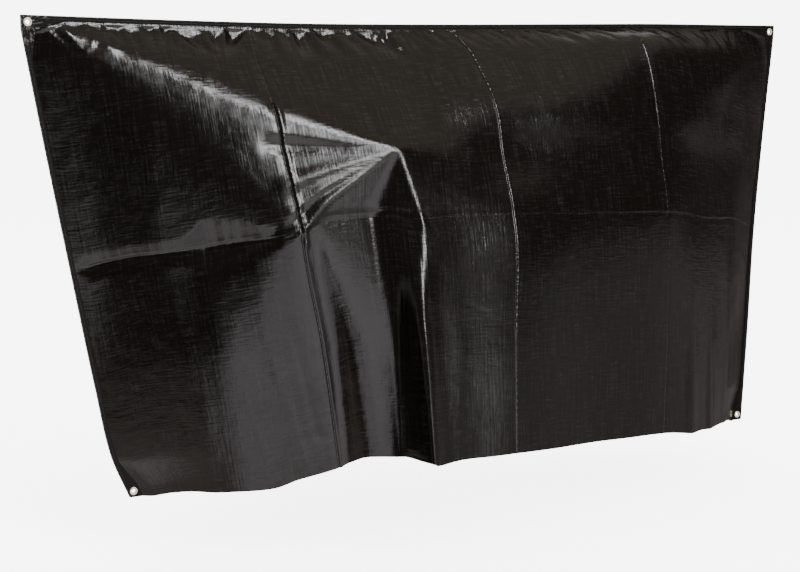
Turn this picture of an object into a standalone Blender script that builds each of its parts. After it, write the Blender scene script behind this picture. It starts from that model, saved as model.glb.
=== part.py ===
"""Bicycle cover: a flat bag of coated woven sheet, two panels joined along the
ridge and both ends, open below, an eyelet in each corner.  It is strung by its top
corners over two bicycles, and each handlebar pushes its panel out into a peak.

Frame: metres, X along the ridge, -Y to the front panel, Z up, the origin in the hollow
under the middle of the ridge strip.
"""
import math
from collections import namedtuple

import bmesh
import bpy
import numpy as np

for old in list(bpy.data.objects):
    bpy.data.objects.remove(old, do_unlink=True)

# ---- driving sizes -------------------------------------------------------------
FLAT_LENGTH = 2.400          # cut length of a panel with its seams
FLAT_HEIGHT = 1.280          # cut height, ridge edge to hem
SHEET = 0.0015               # thickness of one layer
GAP = 0.0003                 # clearance between neighbouring pieces
STRIP = 2 * SHEET + GAP      # both layers pressed together
RIDGE_BAND = 0.012           # height of the ridge strip between the corners
SIDE_BAND = 0.014            # width of a side strip between the corners
CORNER = 0.036               # side of the flat corner that holds an eyelet
FLARE = 0.075                # length over which a strip narrows from its corner
RIDGE_TOP = 0.050            # height of the ridge edge above the origin
EYELET_INSET = 0.0178        # eyelet centre from both edges of the cloth
EYELET_FLANGE = 0.0106       # outer radius of the flange
EYELET_BORE = 0.0056         # radius of the open hole
EYELET_WALL = 0.0007         # thickness of the barrel
CLOTH_HOLE = 0.0068          # radius of the hole punched in the cloth
ROUND = 24                   # facets round an eyelet
RIDGE_LENGTH = 2.372         # length of the ridge, its seam gathered a little

# Cloth depths below the ridge strip at which a section states how far it stands out,
# as shares of the cloth height.
LEVELS = (0.0, 0.08, 0.25, 0.345, 0.50, 0.75, 1.0)

Section = namedtuple("Section", "name at rim upper peak half low hem in_half in_low in_hem lift")
Fold = namedtuple("Fold", "name u0 v0 u1 v1 rise width")
Seam = namedtuple("Seam", "depth left right")
Dip = namedtuple("Dip", "along dip")

# How far each vertical line of the front panel stands out of the ridge plane, how far it
# drifts along the ridge lower down, and how far small creases lift its hem.
FRONT = (
    Section("left strip", 0.036, 0.000, 0.000, 0.000, 0.000, 0.000, 0.000, 0.102, 0.155, 0.237, 0.000),
    Section("left slack", 0.200, 0.050, 0.112, 0.128, 0.128, 0.152, 0.156, 0.054, 0.110, 0.176, 0.017),
    Section("left belly", 0.400, 0.038, 0.150, 0.198, 0.212, 0.226, 0.282, 0.034, 0.076, 0.120, 0.016),
    Section("quarter crease", 0.600, 0.036, 0.172, 0.240, 0.318, 0.306, 0.308, 0.008, 0.070, 0.118, -0.006),
    Section("left valley", 0.680, 0.040, 0.174, 0.240, 0.318, 0.318, 0.325, -0.002, 0.052, 0.092, 0.005),
    Section("middle fold", 0.780, 0.050, 0.184, 0.240, 0.335, 0.382, 0.395, -0.006, 0.024, 0.052, 0.036),
    Section("deep valley", 0.850, 0.058, 0.196, 0.245, 0.334, 0.384, 0.410, -0.007, 0.000, 0.008, 0.050),
    Section("peak line", 0.905, 0.066, 0.206, 0.254, 0.350, 0.462, 0.528, -0.008, -0.018, -0.028, 0.012),
    Section("peak lee", 1.030, 0.076, 0.224, 0.266, 0.350, 0.428, 0.478, -0.002, -0.018, -0.038, 0.028),
    Section("middle crease", 1.200, 0.086, 0.256, 0.304, 0.370, 0.418, 0.462, 0.004, -0.014, -0.034, -0.012),
    Section("right flat", 1.500, 0.094, 0.232, 0.272, 0.312, 0.352, 0.390, -0.004, -0.020, -0.040, -0.009),
    Section("last crease", 1.800, 0.096, 0.180, 0.212, 0.268, 0.300, 0.326, -0.006, -0.022, -0.044, -0.002),
    Section("right wave", 2.000, 0.080, 0.144, 0.156, 0.196, 0.234, 0.264, -0.014, -0.028, -0.046, 0.012),
    Section("right slack", 2.200, 0.056, 0.080, 0.086, 0.112, 0.133, 0.148, -0.030, -0.040, -0.060, 0.024),
    Section("right strip", 2.364, 0.000, 0.000, 0.000, 0.000, 0.000, 0.000, -0.050, -0.060, -0.074, 0.000),
)

# Extra ridges (rise > 0) and troughs of the front panel, as straight lines on the flat
# sheet from (u0, v0) to (u1, v1), metres from its upper left corner.
FRONT_FOLDS = (
    Fold("tie ridge", 0.06, 0.05, 0.905, 0.440, 0.032, 0.110),
    Fold("under the tie ridge", 0.30, 0.30, 0.640, 0.520, -0.012, 0.080),
    Fold("peak to quarter crease", 0.905, 0.440, 0.600, 0.640, 0.018, 0.070),
    Fold("peak down", 0.905, 0.440, 0.905, 0.700, 0.020, 0.060),
)

# The far panel is pushed out by the other handlebar, nearer the left end.
BACK = (
    Section("left strip", 0.036, 0.000, 0.000, 0.000, 0.000, 0.000, 0.000, 0.102, 0.155, 0.237, 0.000),
    Section("left slack", 0.250, 0.045, 0.118, 0.140, 0.150, 0.178, 0.190, 0.045, 0.090, 0.150, 0.008),
    Section("quarter crease", 0.600, 0.060, 0.190, 0.240, 0.300, 0.340, 0.375, 0.006, 0.040, 0.085, 0.000),
    Section("peak line", 0.780, 0.066, 0.205, 0.270, 0.350, 0.430, 0.490, -0.004, 0.014, 0.040, 0.004),
    Section("middle crease", 1.200, 0.085, 0.225, 0.280, 0.350, 0.425, 0.480, -0.006, -0.012, -0.020, 0.000),
    Section("right flat", 1.500, 0.090, 0.215, 0.255, 0.310, 0.375, 0.425, -0.010, -0.024, -0.040, -0.004),
    Section("last crease", 1.800, 0.088, 0.175, 0.210, 0.262, 0.312, 0.350, -0.016, -0.034, -0.056, -0.004),
    Section("right slack", 2.150, 0.056, 0.090, 0.100, 0.130, 0.160, 0.182, -0.030, -0.044, -0.066, 0.018),
    Section("right strip", 2.364, 0.000, 0.000, 0.000, 0.000, 0.000, 0.000, -0.050, -0.060, -0.074, 0.000),
)

BACK_FOLDS = (
    Fold("tie ridge", 0.06, 0.05, 0.780, 0.440, 0.024, 0.110),
    Fold("peak down", 0.780, 0.440, 0.820, 0.800, 0.018, 0.080),
)

# How far the two side seams lean in, by share of the height.
SEAMS = (
    Seam(0.00, 0.000, 0.000),
    Seam(0.25, 0.050, -0.028),
    Seam(0.50, 0.102, -0.050),
    Seam(0.75, 0.155, -0.060),
    Seam(0.90, 0.191, -0.068),
    Seam(1.00, 0.237, -0.074),
)

# How far the ridge edge dips below its left corner.
RIDGE = (
    Dip(0.00, 0.000),
    Dip(0.40, 0.008),
    Dip(0.80, 0.012),
    Dip(1.20, 0.009),
    Dip(1.60, 0.003),
    Dip(2.00, -0.002),
    Dip(2.40, -0.002),
)


def smooth_steps(knots, values, at):
    """Monotone cubic through (knots, values); values may hold several columns."""
    knots = np.asarray(knots, float)
    values = np.asarray(values, float)
    at = np.clip(np.asarray(at, float), knots[0], knots[-1])
    span = np.diff(knots)
    slope = np.diff(values) / span
    tangent = np.zeros_like(values)
    tangent[1:-1] = 0.5 * (slope[:-1] + slope[1:])
    turn = slope[:-1] * slope[1:] <= 0
    tangent[1:-1][turn] = 0.0
    tangent[0] = slope[0]
    tangent[-1] = slope[-1]
    limit = 3 * np.minimum(np.abs(np.append(slope, slope[-1])),
                           np.abs(np.insert(slope, 0, slope[0])))
    tangent = np.clip(tangent, -limit, limit)
    cell = np.clip(np.searchsorted(knots, at, side="right") - 1, 0, len(span) - 1)
    t = (at - knots[cell]) / span[cell]
    h = span[cell]
    return ((1 + 2 * t) * (1 - t) ** 2 * values[cell] + t * (1 - t) ** 2 * h * tangent[cell]
            + t * t * (3 - 2 * t) * values[cell + 1] - t * t * (1 - t) * h * tangent[cell + 1])


def column(sections, field):
    return [getattr(s, field) for s in sections]


def lean(side, depth):
    """How far a side seam has leaned in at a share of the height."""
    return smooth_steps(column(SEAMS, "depth"), column(SEAMS, side), depth)


def side_width(depth):
    """Width of a side strip at a distance below the ridge edge."""
    near_top = max(0.0, 1 - (depth - CORNER) / FLARE)
    near_foot = max(0.0, 1 - (FLAT_HEIGHT - CORNER - depth) / FLARE)
    grow = min(1.0, max(near_top, near_foot))
    return SIDE_BAND + (CORNER - SIDE_BAND) * grow


def ridge_height(along):
    """Height of the ridge strip at a distance along the ridge."""
    end = min(along, FLAT_LENGTH - along)
    grow = min(1.0, max(0.0, 1 - (end - CORNER) / FLARE))
    return RIDGE_BAND + (CORNER - RIDGE_BAND) * grow


def ridge_dip(along):
    """The slight sag of the ridge between its strung corners."""
    return float(smooth_steps(column(RIDGE, "along"), column(RIDGE, "dip"), along))


def ridge_x(along):
    """Place along X of a point of the gathered ridge; its corners keep their size."""
    if along < CORNER:
        return along - RIDGE_LENGTH / 2
    if along > FLAT_LENGTH - CORNER:
        return along - FLAT_LENGTH + RIDGE_LENGTH / 2
    share = (along - CORNER) / (FLAT_LENGTH - 2 * CORNER)
    return (share - 0.5) * (RIDGE_LENGTH - 2 * CORNER)


def stand_out(sections, folds, u, v):
    """How far the cloth point (u, v) of the flat sheet stands out of the ridge plane."""
    fields = ("rim", "upper", "peak", "half", "low", "hem")
    at = column(sections, "at")
    levels = [0.0] + [float(smooth_steps(at, column(sections, f), u)) for f in fields]
    top = ridge_height(u)
    share = (v - top) / (FLAT_HEIGHT - top)
    out = float(smooth_steps(LEVELS, levels, share))
    ridge = 0.0
    trough = 0.0
    for fold in folds:
        along = np.array([fold.u1 - fold.u0, fold.v1 - fold.v0])
        to = np.array([u - fold.u0, v - fold.v0])
        t = float(np.clip(to @ along / (along @ along), 0.0, 1.0))
        away = math.hypot(*(to - t * along))
        near = max(0.0, 1 - away / fold.width)
        swell = fold.rise * near * near * (3 - 2 * near)
        ridge = max(ridge, swell)
        trough = min(trough, swell)
    edge = min(1.0, share / 0.15, (u - CORNER) / 0.15, (FLAT_LENGTH - CORNER - u) / 0.15)
    return out + (ridge + trough) * max(0.0, edge)


def panel_surface(sections, folds, columns, rows):
    """Points of a panel's middle layer on a grid that follows its creases."""
    points = np.zeros((len(rows), len(columns), 3))
    at = column(sections, "at")
    taken_up = smooth_steps((0.0, 0.30, 0.50, 1.0), (0.0, 0.0, 0.7, 1.0), rows)
    for i, u in enumerate(columns):
        u = float(u)
        top = ridge_height(u)
        share = (u - CORNER) / (FLAT_LENGTH - 2 * CORNER)
        in_half = float(smooth_steps(at, column(sections, "in_half"), u))
        in_low = float(smooth_steps(at, column(sections, "in_low"), u))
        in_hem = float(smooth_steps(at, column(sections, "in_hem"), u))
        lift = float(smooth_steps(at, column(sections, "lift"), u))
        x_before = None
        out_before = 0.0
        z = RIDGE_TOP - top - ridge_dip(u)
        for j, row in enumerate(rows):
            v = top + row * (FLAT_HEIGHT - top)
            side = (1 - share) * float(lean("left", row)) + share * float(lean("right", row))
            own = float(smooth_steps((0.0, 0.5, 0.75, 1.0), (0.0, in_half, in_low, in_hem), row))
            edge = min(1.0, share / 0.1, (1 - share) / 0.1)
            shift = side + (own - side) * edge
            out = stand_out(sections, folds, u, v)
            x = ridge_x(u) + shift
            if j:
                step = (row - rows[j - 1]) * (FLAT_HEIGHT - top)
                fall = step ** 2 - (x - x_before) ** 2 - (out - out_before) ** 2
                z -= math.sqrt(max(fall, (0.3 * step) ** 2))
            x_before = x
            out_before = out
            widen = side_width(v) - CORNER
            tuck = widen * max(0.0, 1 - share / 0.12) - widen * max(0.0, 1 - (1 - share) / 0.12)
            points[j, i] = (x + tuck, -out, z + lift * taken_up[j])
    return points


def new_object(name, vertices, faces, material, smooth=True):
    mesh = bpy.data.meshes.new(name)
    mesh.from_pydata([tuple(map(float, p)) for p in vertices], [], faces)
    work = bmesh.new()
    work.from_mesh(mesh)
    bmesh.ops.recalc_face_normals(work, faces=work.faces)
    bmesh.ops.triangulate(work, faces=work.faces)
    work.to_mesh(mesh)
    work.free()
    mesh.materials.append(material)
    for polygon in mesh.polygons:
        polygon.use_smooth = smooth
    thing = bpy.data.objects.new(name, mesh)
    bpy.context.scene.collection.objects.link(thing)
    return thing


def plain_material(name, colour, metallic, roughness):
    material = bpy.data.materials.new(name)
    material.use_nodes = True
    shader = material.node_tree.nodes["Principled BSDF"]
    shader.inputs["Base Color"].default_value = (*colour, 1.0)
    shader.inputs["Metallic"].default_value = metallic
    shader.inputs["Roughness"].default_value = roughness
    material.diffuse_color = (*colour, 1.0)
    return material


def thicken(points, flip):
    """Closed sheet around a grid of middle points; seam edges stay in the ridge plane."""
    rows, columns = points.shape[:2]
    across = np.gradient(points, axis=1)
    down = np.gradient(points, axis=0)
    normal = np.cross(across, down)
    normal /= np.linalg.norm(normal, axis=2, keepdims=True)
    outward = np.array([0.0, -1.0, 0.0])
    normal *= np.sign(normal @ outward)[..., None]
    normal[0, :] = outward
    normal[:, 0] = outward
    normal[:, -1] = outward
    middle = points + outward * (SHEET / 2 + GAP / 2)
    faces_out = middle + normal * SHEET / 2
    faces_in = middle - normal * SHEET / 2
    vertices = np.concatenate([faces_out.reshape(-1, 3), faces_in.reshape(-1, 3)])
    count = rows * columns
    faces = []
    for j in range(rows - 1):
        for i in range(columns - 1):
            a = j * columns + i
            b = a + 1
            c = a + columns + 1
            d = a + columns
            faces.append((a, d, c))
            faces.append((a, c, b))
            faces.append((count + a, count + c, count + d))
            faces.append((count + a, count + b, count + c))
    rim = [i for i in range(columns)]
    rim += [j * columns + columns - 1 for j in range(1, rows)]
    rim += [(rows - 1) * columns + i for i in range(columns - 2, -1, -1)]
    rim += [j * columns for j in range(rows - 2, 0, -1)]
    for k, a in enumerate(rim):
        b = rim[(k + 1) % len(rim)]
        faces.append((a, b, count + b))
        faces.append((a, count + b, count + a))
    if flip:
        vertices = vertices * np.array([1.0, -1.0, 1.0])
    return vertices, faces


def steps(*stops):
    """Even steps between stated stops: (stop, cells, stop, cells, ..., stop)."""
    values = [stops[0]]
    for k in range(0, len(stops) - 2, 2):
        start, cells, end = stops[k:k + 3]
        values += [start + (end - start) * (n + 1) / cells for n in range(cells)]
    return values


END = FLAT_LENGTH - CORNER
COLUMNS_FRONT = steps(CORNER, 1, CORNER + FLARE, 7, 0.60, 5, 0.905, 4, 1.20, 6, 1.80,
                      5, END - FLARE, 1, END)
COLUMNS_BACK = steps(CORNER, 1, CORNER + FLARE, 5, 0.60, 3, 0.78, 4, 1.20, 4, 1.80,
                     4, END - FLARE, 1, END)
SIDE_LENGTH = FLAT_HEIGHT - CORNER
ROWS = steps(0.0, 2, FLARE / SIDE_LENGTH, 9, 0.345, 5, 0.50,
             9, 1 - (CORNER + FLARE) / SIDE_LENGTH, 2, 1 - CORNER / SIDE_LENGTH, 1, 1.0)


def strip_solid(name, grid, hole_cells, material):
    """Flat strip from a grid of (x, z) points; each hole cell block becomes a round hole.

    The grid has 6 cells across.  hole_cells lists (first column, centre) of the
    6 by 6 blocks that hold an eyelet.
    """
    rows, columns = grid.shape[:2]
    flat = [tuple(p) for p in grid.reshape(-1, 2)]
    faces = []
    blocked = set()
    for first, centre in hole_cells:
        for j in range(6):
            for i in range(first, first + 6):
                blocked.add((j, i))
        edge = [(0, first + i) for i in range(6)]
        edge += [(j, first + 6) for j in range(6)]
        edge += [(6, first + 6 - i) for i in range(6)]
        edge += [(6 - j, first) for j in range(6)]
        ring = []
        for j, i in edge:
            x, z = grid[j, i]
            angle = math.atan2(z - centre[1], x - centre[0])
            ring.append(len(flat))
            flat.append((centre[0] + CLOTH_HOLE * math.cos(angle),
                         centre[1] + CLOTH_HOLE * math.sin(angle)))
        for k in range(24):
            a = edge[k]
            b = edge[(k + 1) % 24]
            faces.append((a[0] * columns + a[1], b[0] * columns + b[1],
                          ring[(k + 1) % 24], ring[k]))
    for j in range(rows - 1):
        for i in range(columns - 1):
            if (j, i) not in blocked:
                a = j * columns + i
                faces.append((a, a + 1, a + columns + 1, a + columns))
    used = sorted({k for face in faces for k in face})
    index = {k: n for n, k in enumerate(used)}
    count = len(used)
    front = [(flat[k][0], -STRIP / 2, flat[k][1]) for k in used]
    back = [(flat[k][0], STRIP / 2, flat[k][1]) for k in used]
    solid = []
    edges = {}
    for face in faces:
        loop = [index[k] for k in face]
        solid.append(tuple(loop))
        solid.append(tuple(count + k for k in reversed(loop)))
        for a, b in zip(loop, loop[1:] + loop[:1]):
            edges[(a, b)] = edges.get((a, b), 0) + 1
    for a, b in edges:
        if (b, a) not in edges:
            solid.append((b, a, count + a, count + b))
    return new_object(name, front + back, solid, material, smooth=False)


def ridge_strip(material):
    """The band along the ridge, with both top corners."""
    inner = steps(CORNER, 2, CORNER + FLARE, 26, FLAT_LENGTH - CORNER - FLARE,
                  2, FLAT_LENGTH - CORNER)
    alongs = ([CORNER * i / 6 for i in range(6)] + inner
              + [FLAT_LENGTH - CORNER + CORNER * i / 6 for i in range(1, 7)])
    grid = np.zeros((7, len(alongs), 2))
    for i, along in enumerate(alongs):
        height = ridge_height(along)
        for j in range(7):
            grid[j, i] = (ridge_x(along),
                          RIDGE_TOP - ridge_dip(along) - (height - GAP) * j / 6)
    x = RIDGE_LENGTH / 2 - EYELET_INSET
    z = RIDGE_TOP - EYELET_INSET
    holes = [(0, (-x, z)), (len(alongs) - 7, (x, z))]
    return strip_solid("ridge_strip", grid, holes, material), [(-x, z), (x, z)]


def side_strip(name, side, material):
    """The band down one end, its eyelet at the foot."""
    depths = [CORNER + row * SIDE_LENGTH for row in ROWS[:-1]]
    depths += [FLAT_HEIGHT - CORNER + CORNER * i / 6 for i in range(1, 7)]
    toward = 1.0 if side == "left" else -1.0
    grid = np.zeros((7, len(depths), 2))
    along = CORNER if side == "left" else FLAT_LENGTH - CORNER
    z = RIDGE_TOP - CORNER - ridge_dip(along)
    before = 0.0
    for i, depth in enumerate(depths):
        share = (depth - CORNER) / SIDE_LENGTH
        leaned = float(smooth_steps((ROWS[-2], 1.0), lean(side, (ROWS[-2], 1.0)), share))
        if share < ROWS[-2]:
            leaned = float(lean(side, share))
        if i:
            step = depth - depths[i - 1]
            z -= math.sqrt(step ** 2 - (leaned - before) ** 2)
        before = leaned
        width = side_width(depth) - GAP
        for j in range(7):
            x = -toward * (RIDGE_LENGTH / 2 - width * j / 6) + leaned
            grid[j, i] = (x, z - (GAP if i == 0 else 0.0))
    last = len(depths) - 1
    centre = 0.5 * (grid[3, last - 3] + grid[3, last - 3])
    holes = [(last - 6, (float(centre[0]), float(centre[1])))]
    return strip_solid(name, grid, holes, material), [tuple(map(float, centre))]


def lathe(name, profile, centre, material):
    """Ring turned about an axis along Y through centre."""
    vertices = []
    for radius, y in profile:
        for k in range(ROUND):
            angle = math.tau * k / ROUND
            vertices.append((centre[0] + radius * math.cos(angle), y,
                             centre[1] + radius * math.sin(angle)))
    faces = []
    for p in range(len(profile)):
        q = (p + 1) % len(profile)
        for k in range(ROUND):
            m = (k + 1) % ROUND
            faces.append((p * ROUND + k, p * ROUND + m, q * ROUND + m, q * ROUND + k))
    return new_object(name, vertices, faces, material)


def eyelet(place, centre, metal, washer_metal):
    """Flanged eyelet through the corner, rolled over a washer behind it."""
    face = STRIP / 2 + GAP
    washer = 0.0006
    back = face + washer + GAP
    barrel = EYELET_BORE + EYELET_WALL
    rolled = barrel + 0.0016
    profile = (
        (EYELET_BORE, -face - 0.0004),
        (EYELET_BORE + 0.0006, -face - 0.0011),
        (0.5 * (barrel + EYELET_FLANGE), -face - 0.0013),
        (EYELET_FLANGE - 0.0006, -face - 0.0009),
        (EYELET_FLANGE, -face - 0.0004),
        (EYELET_FLANGE, -face),
        (barrel, -face),
        (barrel, back),
        (rolled, back),
        (rolled, back + 0.0005),
        (barrel, back + 0.0010),
        (EYELET_BORE, back + 0.0005),
    )
    lathe("eyelet_" + place, profile, centre, metal)
    ring = (
        (barrel + GAP, face),
        (EYELET_FLANGE - 0.0002, face),
        (EYELET_FLANGE - 0.0002, face + washer),
        (barrel + GAP, face + washer),
    )
    lathe("washer_" + place, ring, centre, washer_metal)


def build():
    cloth = {
        name: plain_material(name + "_sheet", (0.012, 0.011, 0.010), 0.0, 0.32)
        for name in ("front_panel", "back_panel", "ridge_strip", "left_strip", "right_strip")
    }
    front = panel_surface(FRONT, FRONT_FOLDS, COLUMNS_FRONT, ROWS)
    back = panel_surface(BACK, BACK_FOLDS, COLUMNS_BACK, ROWS)
    new_object("front_panel", *thicken(front, False), cloth["front_panel"])
    new_object("back_panel", *thicken(back, True), cloth["back_panel"])
    _, top = ridge_strip(cloth["ridge_strip"])
    _, left = side_strip("left_strip", "left", cloth["left_strip"])
    _, right = side_strip("right_strip", "right", cloth["right_strip"])
    places = ("top_left", "top_right", "foot_left", "foot_right")
    for place, centre in zip(places, top + left + right):
        metal = plain_material(place + "_eyelet_metal", (0.78, 0.72, 0.52), 1.0, 0.32)
        ring = plain_material(place + "_washer_metal", (0.70, 0.66, 0.50), 1.0, 0.38)
        eyelet(place, centre, metal, ring)


build()
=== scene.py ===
"""A black bicycle cover: a flat bag of coated woven sheet, strung by its top corners.

Two panels are sewn together along the ridge and both ends.  The near handlebar pushes the
front panel out to a point, and the folds of its long storage show as creases.
"""
import logging
import math
from dataclasses import dataclass, field
from enum import Enum
from typing import Callable, NamedTuple, Sequence

import bmesh
import bpy
import numpy as np
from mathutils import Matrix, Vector


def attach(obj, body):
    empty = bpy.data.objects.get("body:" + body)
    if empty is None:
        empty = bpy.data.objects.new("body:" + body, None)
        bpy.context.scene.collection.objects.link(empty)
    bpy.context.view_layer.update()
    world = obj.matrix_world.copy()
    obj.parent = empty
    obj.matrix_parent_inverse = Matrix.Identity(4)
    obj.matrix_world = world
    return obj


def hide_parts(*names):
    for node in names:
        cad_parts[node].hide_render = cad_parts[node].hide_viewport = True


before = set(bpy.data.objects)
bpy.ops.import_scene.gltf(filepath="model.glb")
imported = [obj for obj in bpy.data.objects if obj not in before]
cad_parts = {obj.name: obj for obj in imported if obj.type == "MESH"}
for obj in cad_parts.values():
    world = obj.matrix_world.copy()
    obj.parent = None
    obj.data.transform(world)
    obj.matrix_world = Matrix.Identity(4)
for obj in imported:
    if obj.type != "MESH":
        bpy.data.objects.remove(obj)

Array = np.ndarray
Colour = tuple[float, float, float, float]
Pair = tuple[float, float]
Hole = tuple[int, Pair]

log = logging.getLogger("bicycle_cover")
logging.basicConfig(level=logging.INFO, format="%(name)s: %(message)s")
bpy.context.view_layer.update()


# ---------------------------------------------------------------------------------------
# Cloth cut and drape
# ---------------------------------------------------------------------------------------
class Section(NamedTuple):
    """A vertical line of a panel: where it is cut, how far it stands out, how it drifts."""

    name: str
    at: float
    rim: float
    upper: float
    peak: float
    half: float
    low: float
    hem: float
    in_half: float
    in_low: float
    in_hem: float
    lift: float


class Fold(NamedTuple):
    """A ridge (rise > 0) or trough along a line, swelling over the first share of its length."""

    name: str
    u0: float
    v0: float
    u1: float
    v1: float
    rise: float
    width: float
    swell: float = 0.0


class Crease(NamedTuple):
    """A narrow crease left by storage, or drawn by a pull, on the flat sheet."""

    name: str
    u0: float
    v0: float
    u1: float
    v1: float
    rise: float
    width: float
    step: float


class Knot(NamedTuple):
    """A corner of the taut facets: its place on the flat sheet, and how far it stands out."""

    name: str
    at: float
    down: float
    out: float


class Pleat(NamedTuple):
    """A narrow fold that starts at a knot and widens to a place on the flat sheet."""

    name: str
    knot: str
    at: float
    down: float
    rise: float
    width: float


class Pucker(NamedTuple):
    """A small fold that the gathered ridge seam draws."""

    place: float
    hang: float
    width: float
    lean: float
    steep: float


@dataclass(frozen=True)
class Curve:
    """A smooth curve through a short table."""

    places: tuple[float, ...]
    values: tuple[float, ...]

    def __call__(self, at: object) -> Array:
        """The curve's value at each place asked for."""
        return smooth_steps(self.places, self.values, at)


class Side(Enum):
    """The two faces of the bag."""

    FRONT = "front_panel"
    BACK = "back_panel"


OUT_LEVELS = (0.0, 0.08, 0.25, 0.345, 0.50, 0.75, 1.0)
OUT_FIELDS = ("rim", "upper", "peak", "half", "low", "hem")
IN_LEVELS = (0.0, 0.5, 0.75, 1.0)
IN_FIELDS = ("in_half", "in_low", "in_hem")
LIFT_SHARE = Curve((0.0, 0.30, 0.50, 1.0), (0.0, 0.0, 0.7, 1.0))
UPPER_DRIFT = Curve((0.00, 0.36, 0.60, 0.90, 1.20, 1.50, 1.80, 2.10, 2.40),
                    (0.000, -0.004, -0.012, 0.006, 0.034, 0.028, 0.020, 0.008, 0.000))
UPPER_DRIFT_SHARE = Curve((0.0, 0.03, 0.10, 0.25, 0.50), (0.0, 0.45, 1.0, 0.85, 0.0))
HEM_DROP = Curve((0.00, 0.09, 0.20, 0.36, 0.43, 0.50, 0.60, 0.70,
                  1.20, 1.30, 1.50, 1.80, 1.92, 2.00, 2.40),
                 (0.000, 0.000, 0.007, 0.014, 0.020, 0.008, 0.005, 0.000,
                  0.004, 0.004, 0.003, 0.006, 0.010, 0.000, 0.000))
HEM_DROP_SHARE = Curve((0.0, 0.5, 1.0), (0.0, 0.0, 1.0))

LEFT_END = Section("left strip", 0.036, *([0.0] * 6), 0.102, 0.155, 0.237, 0.0)
RIGHT_END = Section("right strip", 2.364, *([0.0] * 6), -0.050, -0.060, -0.074, 0.0)

FRONT_SECTIONS = (
    LEFT_END,
    Section("left stripe", 0.092, 0.020, 0.038, 0.040, 0.030, 0.038, 0.044, 0.082, 0.136, 0.210, 0.008),
    Section("left slack", 0.200, 0.050, 0.112, 0.114, 0.091, 0.108, 0.118, 0.054, 0.110, 0.176, 0.022),
    Section("left elbow", 0.360, 0.038, 0.142, 0.176, 0.181, 0.206, 0.207, 0.038, 0.084, 0.132, 0.022),
    Section("elbow foot", 0.430, 0.037, 0.152, 0.198, 0.220, 0.238, 0.238, 0.032, 0.081, 0.127, 0.024),
    Section("quarter slack", 0.545, 0.036, 0.165, 0.228, 0.285, 0.288, 0.281, 0.024, 0.077, 0.121, 0.026),
    Section("quarter crease", 0.600, 0.036, 0.172, 0.240, 0.300, 0.300, 0.295, 0.020, 0.076, 0.121, 0.032),
    Section("valley foot", 0.632, 0.037, 0.173, 0.240, 0.299, 0.298, 0.300, 0.015, 0.070, 0.111, 0.040),
    Section("valley wall", 0.692, 0.040, 0.174, 0.240, 0.296, 0.332, 0.344, 0.008, 0.053, 0.090, 0.056),
    Section("middle fold", 0.790, 0.050, 0.184, 0.240, 0.292, 0.350, 0.374, 0.003, 0.026, 0.053, 0.050),
    Section("valley line", 0.815, 0.053, 0.188, 0.242, 0.290, 0.353, 0.382, 0.003, 0.017, 0.036, 0.049),
    Section("deep valley", 0.856, 0.058, 0.196, 0.245, 0.310, 0.366, 0.402, 0.002, 0.003, 0.009, 0.050),
    Section("peak line", 0.915, 0.066, 0.206, 0.262, 0.340, 0.448, 0.522, 0.003, -0.014, -0.027, 0.028),
    Section("nose line", 0.934, 0.067, 0.208, 0.264, 0.350, 0.436, 0.503, 0.003, -0.014, -0.029, 0.027),
    Section("peak lee", 1.030, 0.070, 0.220, 0.272, 0.343, 0.424, 0.478, 0.004, -0.016, -0.037, 0.036),
    Section("middle crease", 1.200, 0.070, 0.210, 0.250, 0.338, 0.414, 0.462, 0.024, -0.012, -0.034, 0.022),
    Section("right flat", 1.500, 0.078, 0.206, 0.234, 0.300, 0.352, 0.390, 0.000, -0.018, -0.040, 0.020),
    Section("last crease", 1.800, 0.088, 0.172, 0.202, 0.262, 0.300, 0.326, -0.004, -0.021, -0.044, 0.010),
    Section("right wave", 2.000, 0.078, 0.142, 0.156, 0.196, 0.234, 0.264, -0.013, -0.028, -0.046, 0.011),
    Section("right slack", 2.200, 0.056, 0.080, 0.086, 0.112, 0.133, 0.148, -0.030, -0.040, -0.060, 0.028),
    RIGHT_END,
)

FRONT_KNOTS = {knot.name: knot for knot in (
    Knot("tied corner", 0.036, 0.012, 0.000),
    Knot("seam over quarter", 0.600, 0.012, 0.000),
    Knot("seam over peak", 0.905, 0.012, 0.000),
    Knot("seam over lee", 1.030, 0.012, 0.000),
    Knot("seam over middle", 1.200, 0.012, 0.000),
    Knot("peak", 0.893, 0.440, 0.292),
    Knot("lee", 1.030, 0.440, 0.276),
    Knot("middle crease", 1.200, 0.440, 0.255),
    Knot("left edge half", 0.036, 0.640, 0.000),
    Knot("left slack half", 0.200, 0.640, 0.091),
    Knot("left elbow half", 0.360, 0.640, 0.181),
    Knot("elbow top", 0.575, 0.640, 0.301),
    Knot("under the tie", 0.470, 0.272, 0.172),
    Knot("lip foot", 0.620, 0.640, 0.300),
    Knot("valley half", 0.815, 0.640, 0.290),
    Knot("nose half", 0.934, 0.640, 0.350),
    Knot("lee half", 1.030, 0.640, 0.342),
    Knot("middle half", 1.200, 0.640, 0.338),
)}

FRONT_FANS = (
    ("peak", "tied corner", "seam over quarter", "seam over peak", "seam over lee", "lee"),
    ("lee", "seam over lee", "seam over middle", "middle crease"),
    ("tied corner", "left edge half", "left slack half", "left elbow half", "elbow top",
     "under the tie", "peak"),
    ("peak", "under the tie", "elbow top", "lip foot", "valley half", "nose half", "lee half",
     "lee"),
    ("lee", "lee half", "middle half", "middle crease"),
)

FRONT_PLEATS = (
    Pleat("upper trough", "peak", 0.600, 0.395, -0.0080, 0.036),
    Pleat("lower ridge", "peak", 0.610, 0.500, 0.0055, 0.040),
    Pleat("over the lip", "peak", 0.622, 0.590, -0.0065, 0.017),
    Pleat("lip", "peak", 0.626, 0.628, 0.0060, 0.013),
    Pleat("nose", "peak", 0.934, 0.640, 0.0030, 0.014),
)

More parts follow.
